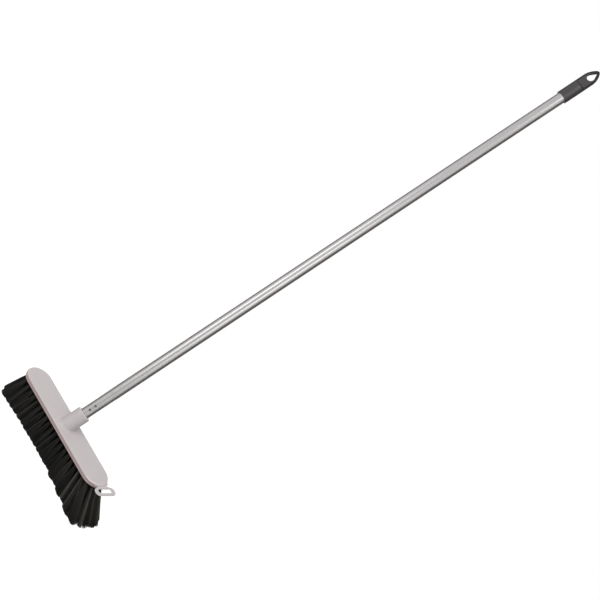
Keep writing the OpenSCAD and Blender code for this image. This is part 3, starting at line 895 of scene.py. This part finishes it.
def insert_shell(
    head,
    thread,
    handle,
    columns=120,
    ring_step=0.35 * MM,
    plug_rings=90,
    plug_gap=0.05 * MM,
    chamfer=0.6 * MM,
):
    """Thread insert as one closed grid up the handle: threaded spigot, flange, and the hollow plug."""
    turn = full_circle(columns)
    seat = head.tube_seat
    flange_low = seat - thread.flange
    low = flange_low - thread.spigot
    high = seat + thread.plug
    rise = steps(low, flange_low, 1 + round(thread.spigot / ring_step))
    last_turn = (thread.spigot - thread.pitch) / thread.pitch
    ridge = thread_share(thread, turn, rise, thread.crest, thread.foot, last_turn)
    flange = TUBE_HIGH.x - handle.swage
    pinched = steps(0, thread.plug, plug_rings)
    radius = np.concatenate(
        [
            np.full((1, columns), thread.core - chamfer),
            thread.core + thread.height * ridge,
            np.full((2, columns), flange),
            flange - handle.wall - plug_gap - dimple_dent(handle, turn, pinched),
            np.full((2, columns), thread.plug_bore),
        ]
    )
    levels = np.concatenate(
        [column(low - chamfer / 2), rise, column(flange_low, seat), seat + pinched, column(high, seat)]
    )
    z = head_level(head) + levels + 0 * turn
    points = np.stack([radius * np.cos(turn), radius * np.sin(turn), z], axis=-1)
    return points, closed_faces(*radius.shape)


def hole_distance(cap, x, z):
    """Distance to the hanging hole, which is the outline of two circles and their common tangents."""
    rise = cap.hole_length - cap.hole_tip
    sine = (cap.hole_radius - cap.hole_tip) / rise
    cosine = math.sqrt(1 - sine**2)
    along = z * cosine - x * sine
    low = np.hypot(x, z) - cap.hole_radius
    high = np.hypot(x, z - rise) - cap.hole_tip
    side = x * cosine + z * sine - cap.hole_radius
    return np.where(along < 0, low, np.where(along > rise * cosine, high, side))


def hole_rows(cap, low_steps=30, side_steps=8, tip_steps=12):
    """Heights and half widths of the hanging hole from bottom to top, evenly turned on its two arcs."""
    rise = cap.hole_length - cap.hole_tip
    tangent = math.asin((cap.hole_radius - cap.hole_tip) / rise)
    low = np.linspace(-QUARTER_TURN, tangent, low_steps)
    high = np.linspace(tangent, QUARTER_TURN, tip_steps)
    low_z, low_x = cap.hole_radius * np.sin(low), cap.hole_radius * np.cos(low)
    high_z, high_x = rise + cap.hole_tip * np.sin(high), cap.hole_tip * np.cos(high)
    side_z = np.linspace(low_z[-1], high_z[0], side_steps)[1:-1]
    side_x = np.linspace(low_x[-1], high_x[0], side_steps)[1:-1]
    z = np.concatenate([low_z, side_z, high_z])
    x = np.concatenate([low_x, side_x, high_x])
    x[[0, -1]] = 0
    return z, x


def cap_outline(cap, z):
    """Half width of the cap at a height, and the nose arc and tip circle that bound it above the sides."""
    full = CAP_HIGH.x
    tip_z = CAP_HIGH.z - cap.tip_radius
    nose = tip_z + cap.nose_lead
    inset = full - cap.tip_radius
    arc = (nose**2 + inset**2) / (2 * inset)
    middle = inset - arc
    touch = math.atan2(nose, -middle)
    radius = arc + cap.tip_radius
    above = np.clip(z + cap.nose_lead, 0, None)
    on_arc = middle + np.sqrt(np.clip(radius**2 - above**2, 0, None))
    on_tip = np.sqrt(np.clip(cap.tip_radius**2 - (z - tip_z) ** 2, 0, None))
    half = np.where(z > tip_z + cap.tip_radius * math.sin(touch), on_tip, on_arc)
    return half, middle, radius, tip_z, touch


def edge_distance(cap, x, z):
    """Distance inwards from the cap's outline: from its nose arc or, beyond their touch, its tip circle."""
    middle, arc, tip_z, touch = cap_outline(cap, z)[1:]
    from_arc = arc - np.hypot(x - middle, np.clip(z + cap.nose_lead, 0, None))
    from_tip = cap.tip_radius - np.hypot(x, z - tip_z)
    return np.where(z - tip_z > math.tan(touch) * x, from_tip, from_arc)


def cap_painted_shade(cap, x, z):
    """Painted shade on the cap: full on the shoulder and in a band along the blade's rounded outline, which
    widens to twice its width at the tip."""
    low = CAP_LOW.z + cap.shoulder_low
    high = CAP_LOW.z + cap.shoulder_high
    fade = SHOULDER_FADE * (high - low)
    shoulder = smooth(z, low, low + fade) * (1 - smooth(z, high - fade, high))
    band = cap.dark_edge * (1 + smooth(z, 0, CAP_HIGH.z))
    outline = 1 - smooth(edge_distance(cap, x, z), EDGE_CORE * band, band)
    return np.maximum(shoulder, outline * smooth(z, low, high))


def there_and_back(front, rear):
    """Rows that run out along the front and come back along the rear, with the turning point kept once."""
    return np.concatenate([front, rear[:, -2::-1]], axis=1)


def cap_shell(cap, quarter_steps=44, top_rows=16, sleeve_rows=8, shoulder_rows=24, blade_rows=18):
    """Cap as two mirrored halves. Each row runs from the middle line, or the hole's edge, out to the outline
    on the front and back again on the rear. The half thickness falls from the sleeve's radius to the blade's.
    Edges are arcs of a radius r that falls from the sleeve's to the blade edge's: the half thickness less
    r - sqrt(r^2 - (r - d)^2) at a distance d inside the outline. Returns it with a mark for its painted
    shade."""
    rim = CAP_LOW.z
    full = CAP_HIGH.x
    shoulder_low = rim + cap.shoulder_low
    shoulder_high = rim + cap.shoulder_high
    hole_z, hole_x = hole_rows(cap)
    top_turn = np.linspace(0, QUARTER_TURN, top_rows)[1:]
    top_z = hole_z[-1] + (CAP_HIGH.z - hole_z[-1]) * np.sin(top_turn)
    blade_turn = np.linspace(0, QUARTER_TURN, blade_rows)[1:-1]
    low_z = np.concatenate(
        [
            np.linspace(rim + cap.rim, shoulder_low, sleeve_rows),
            np.linspace(shoulder_low, shoulder_high, shoulder_rows)[1:],
            shoulder_high + (hole_z[0] - shoulder_high) * np.sin(blade_turn),
        ]
    )
    z = np.concatenate([low_z, hole_z, top_z])[:, None]
    inner = np.concatenate([np.zeros(len(low_z)), hole_x, np.zeros(len(top_z))])[:, None]
    outer = cap_outline(cap, z)[0]
    t = np.linspace(0, 1, quarter_steps + 1)[None, :]
    near_hole = smooth(z, shoulder_high, hole_z[0])
    spacing = (1 - near_hole) * np.sin(QUARTER_TURN * t) + near_hole * (1 - np.cos(math.pi * t)) / 2
    x = inner + (outer - inner) * spacing
    flat = smooth(z, shoulder_low, shoulder_high)
    thick = full + (cap.blade - full) * flat
    edge = full + (cap.blade_edge - full) * flat
    within = np.clip(edge - edge_distance(cap, x, z), 0, edge)
    depth = thick - edge + np.sqrt(np.clip(edge**2 - within**2, 0, None))
    depth[:, -1] = 0
    hole_gap = np.clip(cap.hole_edge - hole_distance(cap, x, z), 0, cap.hole_edge)
    depth = np.minimum(depth, thick - cap.hole_edge + np.sqrt(cap.hole_edge**2 - hole_gap**2))
    ceiling = rim + cap.bore_depth
    bore_radius = column(0, cap.bore, cap.bore, cap.bore + cap.rim, full - cap.rim)
    bore_z = column(ceiling, ceiling, rim + cap.rim, rim, rim)
    x = np.concatenate([bore_radius * np.sin(QUARTER_TURN * t), x])
    depth = np.concatenate([bore_radius * np.cos(QUARTER_TURN * t), depth])
    z = np.concatenate([bore_z, z])
    first_hole = len(bore_z) + len(low_z)
    wall_rows = np.arange(first_hole, first_hole + len(hole_z) - 1)
    half = np.stack(np.broadcast_arrays(there_and_back(x, x), there_and_back(-depth, depth), z), axis=-1)
    columns = half.shape[1]
    here = wall_rows * columns
    wall = np.stack([here + columns - 1, here, here + columns, here + 2 * columns - 1], axis=-1)
    faces = np.concatenate([grid_faces(len(z), columns, closed=False), wall])
    mirrored = half * np.array([-1, 1, 1])
    # Painted shade on the shoulder and along the rounded outline.
    painted_shade = cap_painted_shade(cap, x, z)
    marks = np.tile(there_and_back(painted_shade, painted_shade).ravel(), 2)
    return *joined((half, faces.tolist()), (mirrored, faces[:, ::-1].tolist())), marks


def add_node(tree, kind, settings=None, inputs=None):
    """Adds a node with its settings, and with values or links on its inputs."""
    made = tree.nodes.new(kind)
    for name, value in (settings or {}).items():
        setattr(made, name, value)
    for name, value in (inputs or {}).items():
        if isinstance(value, bpy.types.NodeSocket):
            tree.links.new(value, made.inputs[name])
        else:
            made.inputs[name].default_value = value
    return made


def maths(tree, operation, first, second):
    """Output of a Math node on two values or links."""
    return add_node(tree, "ShaderNodeMath", {"operation": operation}, {0: first, 1: second}).outputs[0]


def blended(tree, first, second, share_first):
    """A share of the first value plus the rest of the second."""
    rest = maths(tree, "MULTIPLY", second, 1 - share_first)
    return maths(tree, "ADD", maths(tree, "MULTIPLY", first, share_first), rest)


def stretch(tree, value, low, high):
    """Output of a Map Range node that takes 0 to 1 to low to high."""
    inputs = {"Value": value, "To Min": low, "To Max": high}
    return add_node(tree, "ShaderNodeMapRange", None, inputs).outputs[0]


def noise(tree, vector, scale, detail):
    """Value of a Noise Texture at a scale in cells a metre."""
    inputs = {"Vector": vector, "Scale": scale, "Detail": detail}
    return add_node(tree, "ShaderNodeTexNoise", None, inputs).outputs[0]


def own_place(tree):
    """Place in the object's own frame."""
    return add_node(tree, "ShaderNodeTexCoord").outputs["Object"]


def mark_value(tree, name):
    """Value of a named mark on the mesh."""
    return add_node(tree, "ShaderNodeAttribute", {"attribute_name": name}).outputs["Fac"]


def mix_colours(tree, factor, first, second, blend="MIX"):
    """Colour output of a Mix node."""
    settings = {"data_type": "RGBA", "blend_type": blend}
    inputs = {MIX_FACTOR: factor, MIX_FIRST: first, MIX_SECOND: second}
    return add_node(tree, "ShaderNodeMix", settings, inputs).outputs[MIX_RESULT]


def give(tree, sockets, **values):
    """Links values to sockets, whose names have spaces in place of underscores."""
    for name, value in values.items():
        tree.links.new(value, sockets[name.replace("_", " ")])


def new_group(name, inputs, outputs):
    """Empty shader group with named sockets, and the nodes that hold them."""
    tree = bpy.data.node_groups.new(name, "ShaderNodeTree")
    for socket, kind in inputs.items():
        tree.interface.new_socket(name=socket, in_out="INPUT", socket_type=kind)
    for socket, kind in outputs.items():
        tree.interface.new_socket(name=socket, in_out="OUTPUT", socket_type=kind)
    given = tree.nodes.new("NodeGroupInput").outputs
    result = tree.nodes.new("NodeGroupOutput").inputs
    return tree, given, result


def grimed(tree, clean, roughness):
    """A colour and a roughness under painted shade, which darkens and dulls where the painted shade mark is
    1.
    """
    painted_shade = mark_value(tree, "painted_shade")
    dark = mix_colours(tree, 1.0, clean, stretch(tree, painted_shade, low=1.0, high=PAINTED_SHADE_TONE), "MULTIPLY")
    return dark, maths(tree, "ADD", roughness, maths(tree, "MULTIPLY", painted_shade, PAINTED_SHADE_ROUGHNESS))


def moulded_finish(name):
    """Group for moulded plastic: slow flow marks and fine specks in the colour, painted shade where the mesh
    marks it, and a fine grain.
    """
    tree, given, result = new_group(
        name,
        {"Colour": COLOUR, "Mottle": NUMBER, "Grain": NUMBER, "Roughness": NUMBER},
        {"Colour": COLOUR, "Roughness": NUMBER, "Height": NUMBER},
    )
    place = own_place(tree)
    flow = noise(tree, place, scale=38, detail=3)
    speck = noise(tree, place, scale=700, detail=2)
    grain = noise(tree, place, scale=given["Grain"], detail=2)
    blotch = blended(tree, flow, speck, share_first=0.7)
    tone = stretch(tree, blotch, low=0.55, high=1.45)
    toned = mix_colours(tree, given["Mottle"], given["Colour"], tone, "MULTIPLY")
    rough = maths(tree, "ADD", given["Roughness"], stretch(tree, blotch, low=-0.12, high=0.12))
    toned, rough = grimed(tree, toned, rough)
    give(tree, result, Colour=toned, Roughness=rough, Height=grain)
    return tree


def edge_highlight_and_wear(name):
    """Group for lightened edges, a painted highlight on the cover and wear on the board: the edge mark,
    broken up by noise, lightens the colour and polishes it.
    """
    tree, given, result = new_group(
        name,
        {"Colour": COLOUR, "Worn": COLOUR, "Amount": NUMBER, "Roughness": NUMBER},
        {"Colour": COLOUR, "Roughness": NUMBER},
    )
    breaks = stretch(tree, noise(tree, own_place(tree), scale=160, detail=4), low=0.2, high=1.4)
    broken = maths(tree, "MULTIPLY", mark_value(tree, "edge"), breaks)
    mask = maths(tree, "MULTIPLY", broken, given["Amount"])
    toned = mix_colours(tree, mask, given["Colour"], given["Worn"])
    rough = maths(tree, "SUBTRACT", given["Roughness"], maths(tree, "MULTIPLY", mask, EDGE_POLISH))
    give(tree, result, Colour=toned, Roughness=rough)
    return tree


def drawn_lines(name):
    """Group for drawn metal: fine lines along Z, which vary the tone, the roughness and the height, and
    painted shade."""
    tree, given, result = new_group(
        name,
        {"Colour": COLOUR, "Lines": NUMBER, "Stretch": NUMBER, "Roughness": NUMBER},
        {"Colour": COLOUR, "Roughness": NUMBER, "Height": NUMBER},
    )
    place = own_place(tree)
    shrink = add_node(tree, "ShaderNodeCombineXYZ", None, {"X": 1, "Y": 1, "Z": given["Stretch"]}).outputs[0]
    drawn = add_node(tree, "ShaderNodeVectorMath", {"operation": "MULTIPLY"}, {0: place, 1: shrink})
    fine = noise(tree, drawn.outputs[0], scale=given["Lines"], detail=3)
    cloud = noise(tree, place, scale=30, detail=3)
    both = blended(tree, fine, cloud, share_first=0.6)
    tone = stretch(tree, both, low=0.94, high=1.06)
    toned = mix_colours(tree, 1.0, given["Colour"], tone, "MULTIPLY")
    rough = maths(tree, "ADD", given["Roughness"], stretch(tree, both, low=-0.05, high=0.05))
    toned, rough = grimed(tree, toned, rough)
    give(tree, result, Colour=toned, Roughness=rough, Height=fine)
    return tree


def finish_group(tree, make, **inputs):
    """Outputs of a node that holds a finish's group, which is made the first time that it is asked for."""
    name = make.__name__.replace("_", " ")
    group = bpy.data.node_groups.get(name) or make(name)
    return add_node(tree, "ShaderNodeGroup", {"node_tree": group}, inputs).outputs


def new_material(name, **sockets):
    """Material with a Principled shader, whose constant sockets are set on the shader itself."""
    material = bpy.data.materials.new(name)
    material.use_nodes = True
    shader = material.node_tree.nodes["Principled BSDF"]
    for socket, value in sockets.items():
        shader.inputs[socket.replace("_", " ")].default_value = value
    return material, material.node_tree, shader


def add_bump(tree, shader, height, strength, distance):
    """Bump node from a height to the shader's normal."""
    inputs = {"Strength": strength, "Distance": distance, "Height": height}
    give(tree, shader.inputs, Normal=add_node(tree, "ShaderNodeBump", None, inputs).outputs[0])


def rgba(tint, lift=1.0):
    """A colour with its alpha, lightened or darkened by a factor."""
    return (*[min(1.0, part * lift) for part in tint], 1.0)


def plastic(name, tint, roughness, mottle, grain, bump, worn=None, side=None, **sockets):
    """Moulded plastic in a colour, with lightened edges where a worn lift is given, a painted highlight on
    the cover and wear on the board, and a side in another colour, painted shade, where one is given."""
    material, tree, shader = new_material(name, **sockets)
    finish = finish_group(
        tree, moulded_finish, Colour=rgba(tint), Mottle=mottle, Grain=grain, Roughness=roughness
    )
    toned, rough = finish["Colour"], finish["Roughness"]
    if worn:
        wear = finish_group(
            tree, edge_highlight_and_wear, Colour=toned, Worn=rgba(tint, worn), Amount=HIGHLIGHT_AND_WEAR_AMOUNT, Roughness=rough
        )
        toned, rough = wear["Colour"], wear["Roughness"]
    if side:
        # Painted shade: the side's darker colour down the cover's rounded edge.
        toned = mix_colours(tree, mark_value(tree, "side"), toned, rgba(side))
    give(tree, shader.inputs, Base_Color=toned, Roughness=rough)
    add_bump(tree, shader, finish["Height"], bump, GRAIN_HEIGHT)
    return material


def drawn_metal(name, tint, roughness, lines, stretch_z, bump):
    """Drawn metal in a colour."""
    material, tree, shader = new_material(name, Metallic=1.0)
    finish = finish_group(
        tree, drawn_lines, Colour=rgba(tint), Lines=lines, Stretch=stretch_z, Roughness=roughness
    )
    give(tree, shader.inputs, Base_Color=finish["Colour"], Roughness=finish["Roughness"])
    add_bump(tree, shader, finish["Height"], bump, LINE_HEIGHT)
    return material


def bristle_fibre(colours):
    """Bristle fibre: from the root's colour to the tip's with the square of the depth share, duller towards
    the tip, and each strand lighter or darker by its shade, which holds painted glints and, towards the eye's
    end, painted light."""
    material, tree, shader = new_material("bristle fibre", Specular_IOR_Level=0.25)
    along = mark_value(tree, "along")
    depth = maths(tree, "POWER", along, 2.0)
    toned = mix_colours(tree, depth, rgba(colours.bristle_root), rgba(colours.bristle_tip))
    tone = stretch(tree, mark_value(tree, "shade"), low=0.1, high=14.5)
    varied = mix_colours(tree, 1.0, toned, tone, "MULTIPLY")
    give(tree, shader.inputs, Base_Color=varied, Roughness=stretch(tree, along, low=0.42, high=0.7))
    return material


class BROOM_OT_head_cover(bpy.types.Operator):
    """Make the head's cover with its socket and hanging eye"""

    bl_idname = "broom.head_cover"
    bl_label = "Head Cover"

    def execute(self, context):
        head = context.scene.broom_head
        colours = context.scene.broom_colours
        cover, edge, side = cover_shell(head, context.scene.broom_thread)
        points, faces = joined(cover, eye_shell(head), neck_shell(head))
        marks = {"edge": edge, "side": side}
        marks = {name: np.pad(mark.ravel(), (0, len(points) - mark.size)) for name, mark in marks.items()}
        mesh = build_mesh("cover_shell", to_part(points, head), faces, marks)
        weld(mesh)
        finish = plastic(
            "cover plastic",
            colours.cover,
            roughness=0.36,
            mottle=0.12,
            grain=2600,
            bump=0.12,
            # Painted highlight on the mouth's rim and the ends' edge, and painted shade on the side.
            worn=1.75,
            side=colours.cover_side_shade,
        )
        place_piece(mesh, finish, "head", "head_cover")
        return {"FINISHED"}


class BROOM_OT_tuft_board(bpy.types.Operator):
    """Make the board that holds the tufts"""

    bl_idname = "broom.tuft_board"
    bl_label = "Tuft Board"

    def execute(self, context):
        head = context.scene.broom_head
        rings, faces, edge = board_shell(head)
        mesh = build_mesh("bristle_board", to_part(rings, head), faces, {"edge": edge})
        weld(mesh)
        tint = context.scene.broom_colours.board
        # The board's lower edge lightened as wear; its darker colour is partly painted shade.
        finish = plastic("board plastic", tint, roughness=0.45, mottle=0.14, grain=2200, bump=0.15, worn=1.4)
        place_piece(mesh, finish, "head", "tuft_board")
        return {"FINISHED"}


class BROOM_OT_bristles(bpy.types.Operator):
    """Make the five rows of bristles"""

    bl_idname = "broom.bristles"
    bl_label = "Bristles"

    def execute(self, context):
        head = context.scene.broom_head
        fibre = bristle_fibre(context.scene.broom_colours)
        for row, node in enumerate(ROW_NODES):
            strands, faces, along, shade = tuft_row_strands(row, head, context.scene.broom_bristles)
            name = node.replace("tuft_row", "bristles")
            mesh = build_mesh(name, to_part(strands, head), faces, {"along": along, "shade": shade})
            place_piece(mesh, fibre, "head", node, crease=math.pi)
        return {"FINISHED"}


class BROOM_OT_handle_tube(bpy.types.Operator):
    """Make the handle's tube with its drawn-in end and punched dimples"""

    bl_idname = "broom.handle_tube"
    bl_label = "Handle Tube"

    def execute(self, context):
        points, faces, painted_shade = tube_shell(context.scene.broom_handle)
        # Painted shade in the dimples and on the lower end.
        mesh = build_mesh("handle_pipe", points, faces, {"painted_shade": painted_shade})
        weld(mesh)
        tint = context.scene.broom_colours.tube
        finish = drawn_metal("tube metal", tint, roughness=0.27, lines=1500, stretch_z=0.012, bump=0.015)
        place_piece(mesh, finish, "handle", "handle_tube")
        return {"FINISHED"}


class BROOM_OT_thread_insert(bpy.types.Operator):
    """Make the threaded insert in the tube's lower end"""

    bl_idname = "broom.thread_insert"
    bl_label = "Thread Insert"

    def execute(self, context):
        scene = context.scene
        points, faces = insert_shell(scene.broom_head, scene.broom_thread, scene.broom_handle)
        mesh = build_mesh("threaded_plug", points, faces, {})
        weld(mesh)
        tint = scene.broom_colours.insert
        finish = plastic("insert plastic", tint, roughness=0.45, mottle=0.15, grain=2000, bump=0.15)
        place_piece(mesh, finish, "handle", "thread_insert")
        return {"FINISHED"}


class BROOM_OT_hanger_cap(bpy.types.Operator):
    """Make the hanging cap"""

    bl_idname = "broom.hanger_cap"
    bl_label = "Hanging Cap"

    def execute(self, context):
        points, faces, painted_shade = cap_shell(context.scene.broom_cap)
        # Painted shade on the cap's shoulder and along its rounded outline.
        mesh = build_mesh("hanging_cap", points, faces, {"painted_shade": painted_shade})
        weld(mesh)
        tint = context.scene.broom_colours.cap
        finish = plastic(
            "cap plastic", tint, roughness=0.36, mottle=0.25, grain=2400, bump=0.2, Specular_IOR_Level=0.62
        )
        place_piece(mesh, finish, "cap", "hanger_cap")
        return {"FINISHED"}


class BROOM_OT_tuft_anchors(bpy.types.Operator):
    """Give the tufts' wire anchors their finish"""

    bl_idname = "broom.tuft_anchors"
    bl_label = "Tuft Anchors"

    def execute(self, context):
        tint = context.scene.broom_colours.wire
        wire = drawn_metal("anchor wire", tint, roughness=0.4, lines=2500, stretch_z=1.0, bump=0.1)
        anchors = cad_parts["tuft_anchors"].data
        anchors.materials.clear()
        anchors.materials.append(wire)
        return {"FINISHED"}


def seen_rays(tree):
    """Light Path mask that is 1 for what the camera sees, also in reflections and through glass."""
    path = add_node(tree, "ShaderNodeLightPath").outputs
    seen = maths(tree, "MAXIMUM", path["Is Camera Ray"], path["Is Glossy Ray"])
    return maths(tree, "MAXIMUM", seen, path["Is Transmission Ray"])


def add_world(studio):
    """World that is white to the camera and in reflections, and lights the object at the ambient level."""
    world = bpy.data.worlds.new("studio")
    bpy.context.scene.world = world
    world.use_nodes = True
    tree = world.node_tree
    background = tree.nodes["Background"]
    background.inputs["Color"].default_value = (1, 1, 1, 1)
    give(tree, background.inputs, Strength=stretch(tree, seen_rays(tree), low=studio.ambient, high=1.0))


def add_lamp(name, lamp):
    """Sun lamp for the matt light. Reflections show the cards in its place."""
    light = bpy.data.lights.new(name, "SUN")
    light.energy = lamp.strength
    light.angle = math.radians(lamp.spread)
    holder = bpy.data.objects.new(name, light)
    holder.rotation_mode = "QUATERNION"
    holder.rotation_quaternion = lamp.towards.to_track_quat("Z", "Y")
    holder.visible_glossy = False
    bpy.context.scene.collection.objects.link(holder)


def add_card(name, card, distance, columns=24):
    """Upright strip of a cylinder round the handle's axis, hidden from all but reflected rays."""
    turn = np.radians(np.linspace(card.start, card.end, columns))
    heights = column(card.low, card.high)
    points = np.broadcast_arrays(distance * np.cos(turn), distance * np.sin(turn), heights)
    faces = grid_faces(len(heights), columns, closed=False).tolist()
    mesh = build_mesh(name, np.stack(points, axis=-1), faces, {})
    shine = bpy.data.materials.new(name)
    shine.use_nodes = True
    tree = shine.node_tree
    glow = add_node(tree, "ShaderNodeEmission", None, {"Color": card.tint, "Strength": card.glow})
    give(tree, tree.nodes["Material Output"].inputs, Surface=glow.outputs[0])
    mesh.materials.append(shine)
    holder = bpy.data.objects.new(name, mesh)
    for ray in ("camera", "diffuse", "transmission", "volume_scatter", "shadow"):
        setattr(holder, "visible_" + ray, False)
    bpy.context.scene.collection.objects.link(holder)


def add_floor(studio):
    """Pale floor below the broom: a matt white that is lifted to white for the camera and keeps shadows."""
    half = studio.floor_size / 2
    level = CAD_BOX[0].z - studio.floor_drop
    corners = [(-half, -half, level), (half, -half, level), (half, half, level), (-half, half, level)]
    mesh = build_mesh("floor", np.array(corners), [[0, 1, 2, 3]], {})
    material, tree, shader = new_material("floor white", Roughness=0.9, Base_Color=(0.8, 0.8, 0.8, 1))
    shader.inputs["Emission Color"].default_value = (1, 1, 1, 1)
    lift = stretch(tree, seen_rays(tree), low=0.0, high=studio.floor_lift)
    give(tree, shader.inputs, Emission_Strength=lift)
    mesh.materials.append(material)
    floor = bpy.data.objects.new("floor", mesh)
    bpy.context.scene.collection.objects.link(floor)


class BROOM_OT_studio(bpy.types.Operator):
    """Make the camera, the lamps, the white surroundings and the floor"""

    bl_idname = "broom.studio"
    bl_label = "Studio"

    def execute(self, context):
        scene = context.scene
        studio = scene.broom_studio
        lens = bpy.data.cameras.new("camera")
        lens.angle = studio.view_angle
        camera = bpy.data.objects.new("camera", lens)
        camera.location = studio.camera_place
        camera.rotation_euler = studio.camera_turn
        scene.collection.objects.link(camera)
        scene.camera = camera
        add_world(studio)
        for name, lamp in LAMPS.items():
            add_lamp(name, lamp)
        for name, card in CARDS.items():
            add_card(name, card, studio.card_distance)
        add_floor(studio)
        scene.view_settings.view_transform = "Standard"
        return {"FINISHED"}


OPERATORS = (
    BROOM_OT_head_cover,
    BROOM_OT_tuft_board,
    BROOM_OT_bristles,
    BROOM_OT_handle_tube,
    BROOM_OT_thread_insert,
    BROOM_OT_hanger_cap,
    BROOM_OT_tuft_anchors,
    BROOM_OT_studio,
)


class BROOM_PT_panel(bpy.types.Panel):
    """Sidebar panel that lists the broom's pieces and its studio"""

    bl_idname = "BROOM_PT_panel"
    bl_label = "Household Broom"
    bl_space_type = "VIEW_3D"
    bl_region_type = "UI"
    bl_category = "Broom"

    def draw(self, context):
        for operator in OPERATORS:
            self.layout.operator(operator.bl_idname)


def register():
    """Registers the classes and hangs the settings on the scene."""
    for made in (*SETTINGS.values(), *OPERATORS, BROOM_PT_panel):
        bpy.utils.register_class(made)
    for name, group in SETTINGS.items():
        setattr(bpy.types.Scene, name, PointerProperty(type=group))


def unregister():
    """Takes the settings and classes away again."""
    for name in SETTINGS:
        delattr(bpy.types.Scene, name)
    for made in reversed((*SETTINGS.values(), *OPERATORS, BROOM_PT_panel)):
        bpy.utils.unregister_class(made)


def main():
    """Makes every piece and the studio."""
    register()
    for operator in OPERATORS:
        group, name = operator.bl_idname.split(".")
        getattr(getattr(bpy.ops, group), name)()


if __name__ == "__main__":
    main()
